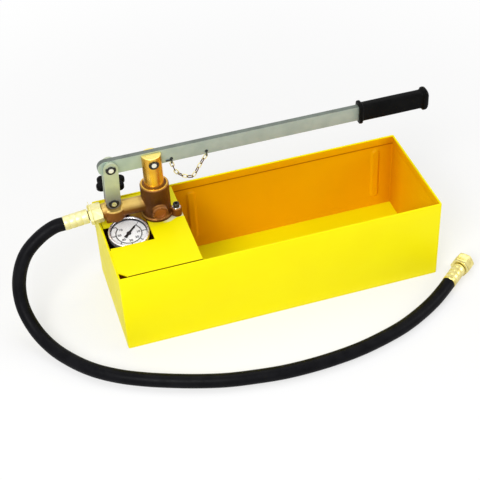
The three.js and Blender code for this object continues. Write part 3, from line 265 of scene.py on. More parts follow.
def upright_slab(name, outline, front, back, place=HERE):
    """An outline in the XZ plane with its depth along Y."""
    return slab(name, outline, -back, -front, place @ UPRIGHT)


def arc(x, y, radius, start, end, steps=16):
    """Points of an arc, angles in degrees."""
    return [
        (x + radius * math.cos(math.radians(start + (end - start) * k / steps)),
         y + radius * math.sin(math.radians(start + (end - start) * k / steps)))
        for k in range(steps + 1)
    ]


def rounded(half_x, half_y, radius, steps=6):
    x, y = half_x - radius, half_y - radius
    return (
        arc(x, y, radius, 0, 90, steps) + arc(-x, y, radius, 90, 180, steps)
        + arc(-x, -y, radius, 180, 270, steps) + arc(x, -y, radius, 270, 360, steps)
    )


def rod(name, radius, low, high, place=HERE, sides=64):
    return lathe(name, [(0, low), (radius, low), (radius, high), (0, high)], place, sides)


def wire_loop(name, path, radius, sides, place):
    """A round wire along a closed path of points."""
    path = [Vector(p) for p in path]
    loops = []
    side = None
    for k, point in enumerate(path):
        heading = (path[(k + 1) % len(path)] - path[k - 1]).normalized()
        if side is None:
            side = heading.orthogonal().normalized()
        side = (side - heading * side.dot(heading)).normalized()
        other = heading.cross(side)
        loops.append([
            point + radius * (side * math.cos(TAU * j / sides) + other * math.sin(TAU * j / sides))
            for j in range(sides)
        ])
    return skin(name, loops, place, closed=True)


def chamfered(radius, low, high, edge):
    """Profile of a rod with a rounded edge at both ends."""
    profile = [(0, low), (radius - edge - 0.1, low), (radius - edge, low)]
    profile += [
        (radius - edge + edge * math.sin(math.radians(a)), low + edge - edge * math.cos(math.radians(a)))
        for a in (30, 60, 90)
    ]
    profile += [
        (radius - edge + edge * math.cos(math.radians(a)), high - edge + edge * math.sin(math.radians(a)))
        for a in (0, 30, 60)
    ]
    return profile + [(radius - edge, high), (radius - edge - 0.1, high), (0, high)]


def hex_nut(name, flats, low, high, bore, chamfer, place=HERE):
    corner = flats / math.sqrt(3)
    outline = [
        (corner * math.cos(math.radians(30 + 60 * k)), corner * math.sin(math.radians(30 + 60 * k)))
        for k in range(6)
    ]
    nut = slab(name, outline, low, high, place)
    slope = chamfer * 0.55
    crown = lathe("crown", [
        (0, low), (corner - chamfer, low), (corner, low + slope), (corner + 0.1, low + slope + 0.1),
        (corner + 0.1, high - slope - 0.1), (corner, high - slope), (corner - chamfer, high), (0, high),
    ], place)
    carve(nut, crown, how="INTERSECT")
    carve(nut, rod("bore", bore, low - 1, high + 1, place))
    return bevel(nut, 0.3, 30)


def catmull(points, share):
    """A point of the centripetal curve through the points, share from 0 to 1, and its segment's cubic."""
    last = len(points) - 1
    where = last * share
    index = min(int(where), last - 1)
    p0 = points[index - 1] if index else 2 * points[0] - points[1]
    p1, p2 = points[index], points[index + 1]
    p3 = points[index + 2] if index + 2 <= last else 2 * points[last] - points[last - 1]
    d0, d1, d2 = ((b - a).length ** 0.5 for a, b in ((p0, p1), (p1, p2), (p2, p3)))
    out = ((p1 - p0) / d0 - (p2 - p0) / (d0 + d1) + (p2 - p1) / d1) * d1
    into = ((p2 - p1) / d1 - (p3 - p1) / (d1 + d2) + (p3 - p2) / d2) * d1
    t = where - index
    point = p1 + out * t + (3 * (p2 - p1) - 2 * out - into) * t * t + (2 * (p1 - p2) + out + into) * t ** 3
    return point, out, into


# ---------------------------------------------------------------- materials
def feed(node, values):
    """Sets a node's inputs, or links them where the value is another node's output."""
    for name, value in values.items():
        if isinstance(value, bpy.types.NodeSocket):
            node.id_data.links.new(value, node.inputs[name])
        else:
            node.inputs[name].default_value = value
    return node


def add_node(tree, kind, values):
    return feed(tree.nodes.new("ShaderNode" + kind), values)


def opaque(colour):
    return (*colour, 1) if isinstance(colour, tuple) else colour


LOOKS = {}


class Look:
    """A procedural material, kept in LOOKS: colour in patches, roughness and relief from fine noise."""

    def __init__(self, name, roughness, metallic=0.0, specular=0.5):
        LOOKS[name] = bpy.data.materials.new(name)
        LOOKS[name].use_nodes = True
        self.tree = LOOKS[name].node_tree
        self.shader = feed(self.tree.nodes["Principled BSDF"], {
            "Roughness": roughness, "Metallic": metallic, "Specular IOR Level": specular,
        })
        self.place = self.add("TexCoord", {}).outputs["Object"]
        self.height = None

    def add(self, kind, values):
        return add_node(self.tree, kind, values)

    def noise(self, scale, detail=3, stretch=(1, 1, 1)):
        mapping = self.add("Mapping", {"Scale": stretch, "Vector": self.place})
        noise = self.add("TexNoise", {"Scale": scale, "Detail": detail, "Vector": mapping.outputs[0]})
        return noise.outputs["Fac"]

    def spread(self, value, low, high, from_low=0.35, from_high=0.65):
        """A value mapped from one span to another, by default from the middle of the noise's span."""
        return self.add("MapRange", {
            "Value": value, "From Min": from_low, "From Max": from_high, "To Min": low, "To Max": high,
        }).outputs["Result"]

    def rise(self, value, start, end):
        """0 before start, 1 beyond end."""
        return self.spread(value, 0, 1, start, end)

    def mix(self, share, first, second):
        node = self.add("Mix", {})
        node.data_type = "RGBA"
        feed(node, {"Factor": share, 6: opaque(first), 7: opaque(second)})
        return node.outputs[2]

    def patches(self, scale, first, second):
        """Two colours in soft patches."""
        return self.mix(self.spread(self.noise(scale), 0, 1), first, second)

    def ramp(self, value, low, high, *colours):
        """Evenly spaced colours as a value runs from low to high."""
        node = self.add("ValToRGB", {0: self.rise(value, low, high)})
        stops = node.color_ramp.elements
        while len(stops) < len(colours):
            stops.new(0.5)
        for k, colour in enumerate(colours):
            stops[k].position = k / (len(colours) - 1)
            stops[k].color = opaque(colour)
        return node.outputs[0]

    def colour(self, value):
        feed(self.shader, {"Base Color": opaque(value)})

    def roughness(self, value):
        feed(self.shader, {"Roughness": value})

    def relief(self, value, depth, strength):
        """Bump from a height of 0 to 1, depth in millimetres."""
        node = self.add("Bump", {"Strength": strength, "Distance": depth * MM, "Height": value})
        if self.height:
            feed(node, {"Normal": self.height})
        self.height = node.outputs["Normal"]
        feed(self.shader, {"Normal": self.height})

    def times(self, product, *factors):
        for factor in factors:
            node = self.add("Math", {0: product, 1: factor})
            node.operation = "MULTIPLY"
            product = node.outputs[0]
        return product

    def split(self, vector, axis):
        return self.add("SeparateXYZ", {0: vector}).outputs[axis]

    def along(self, axis):
        """The place along an axis of the shared frame, in metres."""
        return self.split(self.place, axis)

    def upward(self):
        """1 on faces that look up, 0 on walls."""
        return self.split(self.add("TexCoord", {}).outputs["Normal"], "Z")


def finish_paint(look, low, high):
    """The gloss and the fine relief that all the paints share."""
    look.roughness(look.spread(look.noise(60), low, high))
    look.relief(look.noise(700, 1), 0.03, 0.35)


def paint(name, colour, deeper):
    look = Look(name, 0.42, specular=0.12)
    look.colour(look.patches(14, colour, deeper))
    finish_paint(look, 0.36, 0.5)


def inner_paint():
    """The tank's inside: walls and hem in orange painted shade, yellow floor and hem along the deck, painted
    shade in unlit brown under the deck.
    """
    look = Look("inner_paint", 0.42, specular=0.12)
    x, y, z = (look.along(axis) for axis in "XYZ")
    # colours of painted shade: brown under the deck, black at the left end
    yellow, brown, black = (0.97, 0.86, 0.0), (0.03, 0.01, 0.0), (0.02, 0.008, 0.001)
    hem_foot = (0.1256, 0.1264)
    hem, walls = look.spread(z, 0, 1, *hem_foot), look.spread(z, 1, 0, *hem_foot)
    left_end_shade = look.rise(x, -0.242, -0.245)
    # painted shade: walls and hem in orange, a little lighter towards the right as painted light
    shade = look.mix(look.rise(x, -0.12, 0.1), (0.90, 0.41, 0.0), (0.90, 0.45, 0.0))
    # painted light: brighter orange on the right wall towards the front
    right_front_light = look.times(look.rise(x, 0.240, 0.246), look.rise(y, 0.07, -0.05))
    shade = look.mix(right_front_light, shade, (0.95, 0.56, 0.0))
    shade = look.mix(look.spread(look.noise(14), 0, 0.12), shade, (0.80, 0.32, 0.0))
    # painted shade: a darker band along the back right corner
    corner = look.times(look.spread(x, 0, 0.8, 0.222, 0.246), look.rise(y, 0.050, 0.088))
    shade = look.mix(corner, shade, (0.70, 0.27, 0.0))
    # painted shadow: a dark line under the hem along the back wall
    crease_shadow = look.times(look.spread(z, 0, 0.75, 0.1225, 0.1235), walls, look.rise(y, 0.086, 0.090))
    shade = look.mix(crease_shadow, shade, (0.40, 0.12, 0.0))
    rear_hem = look.times(look.rise(x, -0.125, -0.129), look.rise(y, 0.080, 0.084), hem)
    shade = look.mix(rear_hem, shade, yellow)
    # painted shade: dark brown on the walls under the deck
    shade = look.mix(look.times(look.rise(x, -0.180, -0.210), walls), shade, brown)
    # painted shade: black on the inner wall at the left end
    shade = look.mix(left_end_shade, shade, black)
    # painted shade: the floor turns brown under the deck, yellow elsewhere
    bottom = look.mix(look.rise(x, -0.135, -0.17), (1.0, 0.97, 0.0), (0.40, 0.11, 0.004))
    floor = look.times(look.rise(look.upward(), 0.6, 0.8), look.rise(z, 0.012, 0.006))
    look.colour(look.mix(floor, shade, bottom))
    finish_paint(look, 0.36, 0.5)


def plate_paint():
    """Deck paint, paler in front of the right lug, with a brown painted shadow under the bridge."""
    look = Look("plate_paint", 0.45, specular=0.12)
    x, y = look.along("X"), look.along("Y")
    yellow = look.patches(14, (0.96, 0.86, 0.01), (0.94, 0.82, 0.01))
    pale_patch = look.times(look.rise(x, -0.158, -0.150), look.rise(y, 0.033, 0.027))
    yellow = look.mix(pale_patch, yellow, (0.88, 0.84, 0.50))
    # painted shadow: brown on the plate under the casting's bridge
    bridge_shadow = look.times(
        look.rise(x, -0.176, -0.182), look.rise(x, -0.212, -0.204), look.rise(y, 0.024, 0.030),
        look.spread(y, 1, 0, 0.062, 0.072), look.spread(look.noise(60), 0.7, 1),
    )
    look.colour(look.mix(bridge_shadow, yellow, (0.28, 0.12, 0.01)))
    finish_paint(look, 0.38, 0.52)


def cast_brass():
    """Raw casting: brown skin on the walls with painted shade and light along X, paler where it faces up as a
    painted highlight.
    """
    look = Look("cast_brass", 0.5, metallic=0.55, specular=0.35)
    # brown skin with painted shade, darker from the left end towards the barrel's middle, and painted light
    # again at its right side
    skin_and_shade = look.ramp(
        look.along("X"), -0.240, -0.132,
        (0.30, 0.11, 0.016), (0.18, 0.06, 0.006), (0.10, 0.034, 0.003), (0.055, 0.014, 0.001),
        (0.20, 0.06, 0.005),
    )
    walls = look.mix(look.spread(look.noise(38, 4), 0, 0.4), skin_and_shade, (0.21, 0.075, 0.009))
    # painted highlight: pale gold on faces that look up, browner from the barrel rightwards
    highlight_tops = look.patches(60, (0.56, 0.37, 0.08), (0.70, 0.50, 0.15))
    highlight_tops = look.mix(look.rise(look.along("X"), -0.188, -0.176), highlight_tops, (0.36, 0.15, 0.03))
    look.colour(look.mix(look.rise(look.upward(), 0.12, 0.86), walls, highlight_tops))
    look.roughness(look.spread(look.noise(220), 0.40, 0.6))
    look.relief(look.noise(900), 0.10, 0.45)
    look.relief(look.noise(170, 2), 0.22, 0.35)


def metal(name, colour, deeper, rough, stretch=(1, 1, 1), metallic=0.85, depth=0.02):
    """Two close shades in patches, with a grain that stretch can draw out along an axis."""
    look = Look(name, rough, metallic=metallic)
    look.colour(look.patches(60, colour, deeper))
    look.roughness(look.spread(look.noise(260, stretch=stretch), rough - 0.07, rough + 0.08))
    look.relief(look.noise(700, 2, stretch), depth, 0.5)


def link_steel():
    """Zinc plate, blue-grey towards the foot of the link."""
    look = Look("link_steel", 0.42, metallic=0.6)
    upper = look.patches(60, (0.53, 0.58, 0.42), (0.47, 0.53, 0.39))
    look.colour(look.mix(look.rise(look.along("Z"), 0.212, 0.178), upper, (0.20, 0.20, 0.22)))
    look.roughness(look.spread(look.noise(260), 0.36, 0.5))
    look.relief(look.noise(700, 2), 0.008, 0.5)


def dull(name, colour, deeper, rough, depth=0.05, specular=0.5):
    look = Look(name, rough, specular=specular)
    look.colour(look.patches(50, colour, deeper))
    look.roughness(look.spread(look.noise(200), rough - 0.08, rough + 0.08))
    look.relief(look.noise(900, 2), depth, 0.5)


def glass():
    look = Look("gauge_glass", 0.03)
    feed(look.shader, {"Transmission Weight": 1.0, "IOR": 1.45, "Alpha": 0.02})
    look.colour((1, 1, 1))
    look.roughness(look.spread(look.noise(30), 0.0, 0.03))


paint("yellow_paint", (0.975, 0.87, 0.0), (0.965, 0.845, 0.0))
inner_paint()
plate_paint()
cast_brass()
metal("turned_brass", (0.86, 0.53, 0.085), (0.76, 0.42, 0.055), 0.25, (1, 1, 0.15), depth=0.002)
# dark brown: painted shade on the hose tails between nut and ferrule; it also darkens every other chain link
metal("neck_shade_and_link_brass", (0.12, 0.045, 0.008), (0.08, 0.03, 0.005), 0.4, metallic=0.5, depth=0.004)
# paler brass for the piston's top: a painted highlight
metal("highlight_top_brass", (0.95, 0.80, 0.26), (0.92, 0.74, 0.20), 0.34, depth=0.004)
metal("dark_brass", (0.30, 0.085, 0.016), (0.24, 0.065, 0.01), 0.5, metallic=0.4, depth=0.01)
metal("boss_brass", (0.42, 0.16, 0.04), (0.34, 0.12, 0.03), 0.45, metallic=0.5, depth=0.01)
metal("pale_brass", (0.88, 0.83, 0.44), (0.80, 0.73, 0.34), 0.46, metallic=0.7, depth=0.004)
metal("end_brass", (0.86, 0.77, 0.32), (0.62, 0.50, 0.14), 0.32, metallic=0.8, depth=0.004)
metal("zinc_steel", (0.45, 0.54, 0.48), (0.39, 0.48, 0.43), 0.42, (1, 6, 6), 0.6, depth=0.008)
metal("zinc_edge", (0.17, 0.20, 0.17), (0.13, 0.15, 0.13), 0.45, (1, 6, 6), 0.5, depth=0.008)
link_steel()
metal("black_steel", (0.010, 0.009, 0.009), (0.018, 0.016, 0.015), 0.4, metallic=0.2)
metal("bright_steel", (0.88, 0.88, 0.88), (0.78, 0.78, 0.78), 0.25, depth=0.008)
metal("gauge_steel", (0.92, 0.89, 0.91), (0.84, 0.80, 0.83), 0.30, depth=0.004)
dull("black_rubber", (0.004, 0.004, 0.005), (0.007, 0.007, 0.0085), 0.42, specular=0.05)
dull("amber_rubber", (0.20, 0.075, 0.008), (0.15, 0.05, 0.005), 0.5, specular=0.3)
dull("black_plastic", (0.003, 0.003, 0.003), (0.005, 0.005, 0.005), 0.36, specular=0.04)
dull("dial_white", (0.97, 0.97, 0.97), (0.94, 0.94, 0.94), 0.5, depth=0.01)
dull("shade_grey", (0.07, 0.075, 0.09), (0.09, 0.095, 0.11), 0.4, depth=0.01)
dull("dial_ink", (0.006, 0.006, 0.007), (0.01, 0.01, 0.01), 0.5, depth=0.01)
dull("case_paint", (0.012, 0.011, 0.012), (0.02, 0.018, 0.018), 0.4, specular=0.2)
# brown painted shade for the seam along the deck cover's front
dull("seam_shade_brown", (0.20, 0.12, 0.002), (0.15, 0.08, 0.001), 0.5, specular=0.1)
glass()


def dress(obj, body, look, *nodes, inside=None):
    inner = [face.index for face in obj.data.polygons if face.material_index] if inside else []
    obj.data.materials.clear()
    obj.data.materials.append(LOOKS[look])
    if inside:
        obj.data.materials.append(LOOKS[inside])
    for index in inner:
        obj.data.polygons[index].material_index = 1
    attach(obj, body)
    if nodes:
        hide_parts(*nodes)
    return obj


# ---------------------------------------------------------------- hose and its fittings
def make_hose():
    lead = HOSE_LEAD * Vector((math.cos(END_HEADING), math.sin(END_HEADING), 0))
    ends = [OUTLET @ Vector((HOSE_START, 0, 0)), OUTLET @ Vector((HOSE_START + HOSE_LEAD, 0, 0))]
    points = ends + [Vector(p) for p in HOSE_ROUTE] + [HOSE_END - lead, HOSE_END]
    data = bpy.data.curves.new("hose_tube", "CURVE")
    data.dimensions = "3D"
    data.resolution_u = 12
    data.bevel_depth = HOSE_RADIUS * MM
    data.bevel_resolution = 10
    data.use_fill_caps = True
    spline = data.splines.new("BEZIER")
    spline.bezier_points.add(len(points) - 1)
    last = len(points) - 1
    for k, point in enumerate(points):
        knot = spline.bezier_points[k]
        knot.handle_left_type = knot.handle_right_type = "FREE"
        out = catmull(points, k / last)[1] if k < last else Vector()
        into = catmull(points, (k - 0.5) / last)[2] if k else Vector()
        knot.co = point * MM
        knot.handle_right = (point + out / 3) * MM
        knot.handle_left = (point - into / 3) * MM
    return dress(add_object("hose_tube", data), "tank", "black_rubber", "hose"), points


def ferrule(name, place, start, look, node):
    """Pressed sleeve with three shallow grooves, from start along local X."""
    length, radius, waist, inner = 37.5, 11.0, 10.35, 6.6
    profile = [(inner, start), (waist, start), (radius - 0.15, start + 0.5), (radius, start + 1.2)]
    for k in (1, 2, 3):
        middle = start + length * k / 4
        profile += [
            (radius, middle - 1.6), (radius - 0.25, middle - 0.8), (radius - 0.4, middle),
            (radius - 0.25, middle + 0.8), (radius, middle + 1.6),
        ]
    end = start + length
    profile += [(radius, end - 1.6), (radius - 0.2, end - 0.7), (radius - 0.9, end), (inner, end)]
    return dress(lathe(name, profile, place @ TO_X, closed=True), "tank", look, node)


def tail(name, place, flange_end, sleeve, node):
    """Hose tail: flange, neck with a turned groove, and barb inside the hose."""
    bore, barb, groove, neck, flange = 4, 6.3, 7.4, 8.15, 9.6
    back, tip = flange_end - 2.5, sleeve + 37
    profile = [
        (bore, back), (flange, back), (flange, flange_end), (neck, flange_end),
        (neck, sleeve - 1.2), (groove, sleeve - 1.0), (groove, sleeve - 0.6), (neck, sleeve - 0.4),
        (neck, sleeve - 0.3), (barb, sleeve - 0.3), (barb, tip), (bore, tip),
    ]
    # the tail's dark brown is painted shade between the nut and the ferrule
    return dress(lathe(name, profile, place @ TO_X, closed=True), "tank", "neck_shade_and_link_brass", node)


def union_nut(name, place, start, length, look, node):
    """Hexagon nut with room for the tail's flange and a groove near its far end."""
    end = start + length
    nut = hex_nut(name, flats=27, low=start, high=end, bore=8.5, chamfer=2.0, place=place @ TO_X)
    carve(nut, rod("room", 10, start - 1, start + 12, place @ TO_X))
    groove = [(12.6, end - 4.2), (20, end - 4.2), (20, end - 3.4), (12.6, end - 3.4)]
    carve(nut, lathe("groove", groove, place @ TO_X, closed=True))
    return dress(nut, "tank", look, node)


def make_hose_ends():
    """The fittings at both ends, placed by their distance along the outlet's and the end's axis."""
    union_nut("outlet_nut", OUTLET, 18.9, 20, "pale_brass", "hose_nut")
    root = tail("outlet_tail", OUTLET, 30.6, 40.2, "hose_tail")
    near = ferrule("outlet_ferrule", OUTLET, 40.2, "pale_brass", "hose_ferrule")
    far = ferrule("far_ferrule", END, 23.3, "end_brass", "end_ferrule")
    nut = union_nut("far_nut", END, 0, 22, "end_brass", "end_nut")
    barb = tail("far_tail", END, 11.7, 23.3, "end_tail")
    return [root, near, far, nut, barb, NODES["end_washer"]]


# ---------------------------------------------------------------- tank and deck
def tank_ring(inset, z, radius, pressed=False):
    """One level of the tank's wall. Where it is pressed, the two ribs dent its back."""
    half_x, half_y = TANK_HALF_X - inset, TANK_HALF_Y - inset
    x, y = half_x - radius, half_y - radius
    flat, slope = 4.0, 4.2
    points = arc(x, -y, radius, 270, 360, 6) + arc(x, y, radius, 0, 90, 6)
    for centre in RIBS:
        points += [(centre - k, half_y) for k in range(-9, 10)]
    points += arc(-x, y, radius, 90, 180, 6) + arc(-x, -y, radius, 180, 270, 6)
    loop = []
    for px, py in points:
        dent = 0
        if pressed and py > half_y - 0.01:
            for centre in RIBS:
                off = math.hypot(px - centre, max(0, RIB_FOOT - z, z - RIB_TOP))
                share = min(1, max(0, (off - flat) / slope))
                dent += RIB_DEPTH * (0.5 + 0.5 * math.cos(math.pi * share))
        loop.append((px, py - dent, z))
    return loop


def make_tank():
    levels = [18, 20, *range(22, 29), 32, 50, 70, 90, 108, *range(111, 117), 118, 120]
    roll = TANK_TOP - SHEET
    loops = [tank_ring(2.0, 0, 1.2), tank_ring(0.6, 0.5, 2.4), tank_ring(0, 2, CORNER)]
    loops += [tank_ring(0, z, CORNER, pressed=True) for z in levels]
    loops.append(tank_ring(0, roll, CORNER))
    for angle in (150, 120, 90, 60, 30, 0):
        turn = math.radians(angle)
        inset = SHEET + SHEET * math.cos(turn)
        loops.append(tank_ring(inset, roll + SHEET * math.sin(turn), max(0.5, CORNER - inset)))
    inner_from = len(loops) - 1
    loops += [
        tank_ring(3, 126.8, 0.5), tank_ring(2.8, 126.2, 0.6), tank_ring(2.3, 126, 0.8),
        tank_ring(1.6, 126, 1.4), tank_ring(SHEET, 125.8, 1.5),
    ]
    loops += [tank_ring(SHEET, z, 1.5, pressed=True) for z in reversed(levels)]
    loops += [tank_ring(SHEET, 3.5, 1.5), tank_ring(2.1, 2.1, 1.4), tank_ring(3.5, SHEET, 1.2)]
    tank = skin("tank_sheet", loops, inner_from=inner_from)
    soften(tank, 40)
    dress(tank, "tank", "yellow_paint", "tank_shell", inside="inner_paint")
    # paint that fills the gap at the deck cover's left edge
    seam = [(-247.3, -80), (-246, -80), (-246, -27.5), (-247.3, -27.5)]
    dress(slab("deck_seam", seam, 138.6, 139.8), "tank", "yellow_paint")


def dress_frame():
    """Looks for the solids that stay."""
    slots = {part["node"]: part["material_slot"] for part in frame["record"]["subparts"]}
    for name, node in NODES.items():
        node.data.materials.clear()
        node.data.materials.append(LOOKS[slots[name]])
        soften(node, 38)
    NODES["pump_plate"].data.materials[0] = LOOKS["plate_paint"]
    NODES["wiper_ring"].data.materials[0] = LOOKS["amber_rubber"]
    # painted shade: the deck cover's front-facing faces in brown, the shade of its seam
    recolour(NODES["deck_cover"], "seam_shade_brown", lambda normal: normal.y < -0.9)
    for name in (
        "deck_cover", "pump_plate", "deck_rail_front", "deck_rail_rear", "cylinder_nut", "suction_bush",
    ):
        add_bevel(NODES[name], 0.35)


# ---------------------------------------------------------------- casting
def make_casting():
    body = add_object("casting", NODES["pump_body"].data.copy())
    # a ring cut away under the link's foot, in front only
    below = lathe("below", [(8, 146), (20, 146), (20, 155)] + [
        (9 + 8 * math.cos(math.radians(a)), 155 - 8 * math.sin(math.radians(a))) for a in range(0, 91, 15)
    ], Matrix.Translation((LINK_FOOT.x, PUMP.y, 0)), 64, closed=True)
    behind = upright_slab("behind", [(-260, 140), (-190, 140), (-190, 160), (-260, 160)], 34, 70)
    carve(below, behind)
    carve(body, below)
    voxels = body.modifiers.new("voxels", "REMESH")
    voxels.mode = "VOXEL"
    voxels.voxel_size = 0.9 * MM
    settle(body)
    blur = body.modifiers.new("blur", "SMOOTH")
    blur.factor = 0.5
    blur.iterations = 6
    settle(body)
    soften(body, 60)
    dress(body, "tank", "cast_brass", "pump_body")
    rim = lathe("cylinder_rim", [
        (18.05, 193), (20.6, 193), (20.6, 196.2), (20.2, 196.85), (19.8, RIM), (18.5, RIM), (18.05, 196.6),
    ], Matrix.Translation(PUMP), closed=True)
    dress(rim, "tank", "turned_brass")
    boss = Matrix.Translation((PUMP.x, 8, PLATE_TOP + 19)) @ TO_Y
    lip = lathe("front_boss_rim", [
        (9.4, 1.6), (9.6, 0.8), (10.1, 0.2), (10.7, 0), (11.3, 0.2), (11.8, 0.7), (12.05, 1.5), (12.05, 3),
        (9.4, 3),
    ], boss, closed=True)
    dress(lip, "tank", "boss_brass")
    plug = lathe("boss_plug", [
        (0, 9), (9.3, 9), (9.3, 1.5), (8.8, 1), (6.5, 1), (5.9, 1.5), (3, 1.7), (0, 1.8),
    ], boss)
    dress(plug, "tank", "dark_brass", "front_plug")


def make_fasteners():
    places = {"right": (-132.5, 23, 152), "rear": (-180, 58, 146), "left": (-238, 60, 149)}
    for name, (x, y, seat) in places.items():
        here = Matrix.Translation((x, y, seat))
        washer = lathe(f"washer_{name}", [
            (3.3, 0), (5.8, 0), (6, 0.2), (6, 1.0), (5.8, 1.2), (3.3, 1.2),
        ], here, 48, closed=True)
        dress(washer, "tank", "bright_steel", f"casting_washer_{name}")
        head = lathe(f"bolt_{name}", [
            (0, 128 - seat), (3, 128 - seat), (3, 1.2), (4.8, 1.2), (5, 1.5), (5, 6.4), (4.4, 7.2), (0, 7.2),
        ], here, 48)
        corner = 5 / math.sqrt(3)
        socket = slab("socket", [
            (corner * math.cos(TAU * k / 6), corner * math.sin(TAU * k / 6)) for k in range(6)
        ], 4.2, 8, here)
        dress(carve(head, socket), "tank", "black_steel", f"casting_bolt_{name}")


# ---------------------------------------------------------------- piston, links, lever
def pin(name, radius, front, back, x, z, body, node):
    profile = chamfered(radius, front, back, 1.2)
    rod_end = dress(lathe(name, profile, Matrix.Translation((x, 0, z)) @ TO_Y, 48), body, "black_steel", node)
    recolour(rod_end, "bright_steel", lambda normal: abs(normal.y) > 0.97)


def clip(name, front, x, z, body, node):
    """Retaining ring: a flat C with its mouth up, seen from in front."""
    outer = arc(0, 0, 7.8, 25.8, -205.8, 40)
    inner = arc(0, 0, 5.1, -219, 39, 40)
    ring = upright_slab(name, outer + inner, front, front + 1.2, Matrix.Translation((x, 0, z)))
    dress(bevel(ring, 0.2), body, "black_steel", node)


def make_piston():
    bottom, top, pin_height = 125, 249.5, 240
    here = Matrix.Translation(PUMP)
    piston = lathe("ram", chamfered(15, bottom, top, 1.0), here, 128)
    slot = slab("slot", [(-17, -0.3), (17, -0.3), (17, 8.3), (-17, 8.3)], 211, 252, here)
    carve(piston, slot, rod("hole", 5.3, 10, 60, Matrix.Translation((PUMP.x, 0, pin_height)) @ TO_Y))
    dress(bevel(piston, 0.3, 40), "plunger", "turned_brass", "piston")
    # painted highlight: the faces that look up get the paler brass
    recolour(piston, "highlight_top_brass", lambda normal: normal.z > 0.3)
    pin("ram_pin", 5, 18.2, 53.8, PUMP.x, pin_height, "plunger", "piston_pin")
    clip("ram_clip_front", 19.5, PUMP.x, pin_height, "plunger", "piston_pin_clip_front")
    clip("ram_clip_rear", 51.3, PUMP.x, pin_height, "plunger", "piston_pin_clip_rear")


def make_links():
    top, foot = (LEVER.x, LEVER.z), (LINK_FOOT.x, LINK_FOOT.z)
    lean = math.degrees(math.atan2(foot[1] - top[1], foot[0] - top[0]))
    outline = arc(*top, 11, lean + 90, lean + 270, 32) + arc(*foot, 11, lean - 90, lean + 90, 32)
    for name, front in (("front", 30.7), ("rear", 44.3)):
        plate = upright_slab(f"link_{name}", outline, front, front + 5)
        for x, z in (top, foot):
            carve(plate, rod("hole", 5.25, front - 1, front + 6, Matrix.Translation((x, 0, z)) @ TO_Y, 48))
        dress(bevel(plate, 0.5), "links", "link_steel", f"link_plate_{name}")
    for name, (x, z) in (("top", top), ("bottom", foot)):
        pin(f"{name}_pin", 5, 27.6, 52.4, x, z, "links", f"link_{name}_pin")
        clip(f"{name}_clip_front", 29.2, x, z, "links", f"link_{name}_clip_front")
        clip(f"{name}_clip_rear", 49.6, x, z, "links", f"link_{name}_clip_rear")


def make_lever():
    here = Matrix.Translation(LEVER)
    bend = 11.5
    end = -18 + bend
    outline = [(482, -12), (484, -10), (484, 10), (482, 12)]
    outline += arc(end, 0.5, bend, 90, 180) + arc(end, -0.5, bend, 180, 270)
    bar = upright_slab("lever_flat", outline, -4, 4, here)
    holes = [rod("hole", 5.25, -6, 6, here @ TO_Y, 48)]
    holes += [rod("hole", 2.6, -6, 6, here @ Matrix.Translation((x, 0, -7)) @ TO_Y, 32) for x in (92, 145.5)]
    holes.append(upright_slab("slot", [(62 + x, z) for x, z in rounded(8.7, 6.5, 6.49, 12)], -6, 6, here))
    carve(bar, *holes)
    dress(bevel(bar, 0.6), "lever", "zinc_steel", "lever_bar")
    recolour(bar, "zinc_edge", lambda normal: abs(normal.y) < 0.5)

    def section(x, half_z, half_y, radius):
        return [(x, y, z) for y, z in rounded(half_y, half_z, radius)]

    loops = [section(484.3, 12.3, 4.3, 0.3), section(386.5, 12.3, 4.3, 0.3)]
    for x, grow in ((386.5, -1.2), (386.8, -0.4), (387.4, 0), (390.3, 0), (391.1, -0.5), (391.6, -1.6)):
        loops.append(section(x, 18 + grow, 11.5 + grow, 8.5 + grow))
    sleeve = ((392.0, 1.0), (393.0, 0.25), (395.0, 0), (440, 0.15), (485.0, 0), (487.5, 0.25), (489.2, 1.0))
    for x, grow in sleeve:
        loops.append(section(x, 14.5 + grow, 8 + grow, 5 + grow))
    for x, grow in ((489.9, -1.6), (490.6, -0.4), (491.4, 0), (494.2, 0)):
        loops.append(section(x, 18 + grow, 11.5 + grow, 8.5 + grow))
    for angle in (15, 30, 45, 60, 72, 82):
        share = math.cos(math.radians(angle))
        x = 494.5 + 6.9 * math.sin(math.radians(angle))
        loops.append(section(x, 18 * share, 11.5 * share, 8.5 * share))
    grip = skin("grip_sleeve", loops, here)
    soften(grip, 45)
    dress(grip, "lever", "black_plastic", "lever_grip")


def oval(half, bend, wire, place, steps=14):
    """A chain link: two half rings of radius bend, their centres half to each side of the middle."""
    path = []
    for side in (0, 1):
        for k in range(steps + 1):
            angle = side * math.pi - math.pi / 2 + math.pi * k / steps
            path.append(((half, -half)[side] + bend * math.cos(angle), 0, bend * math.sin(angle)))
    return wire_loop("oval", path, wire, 10, place)


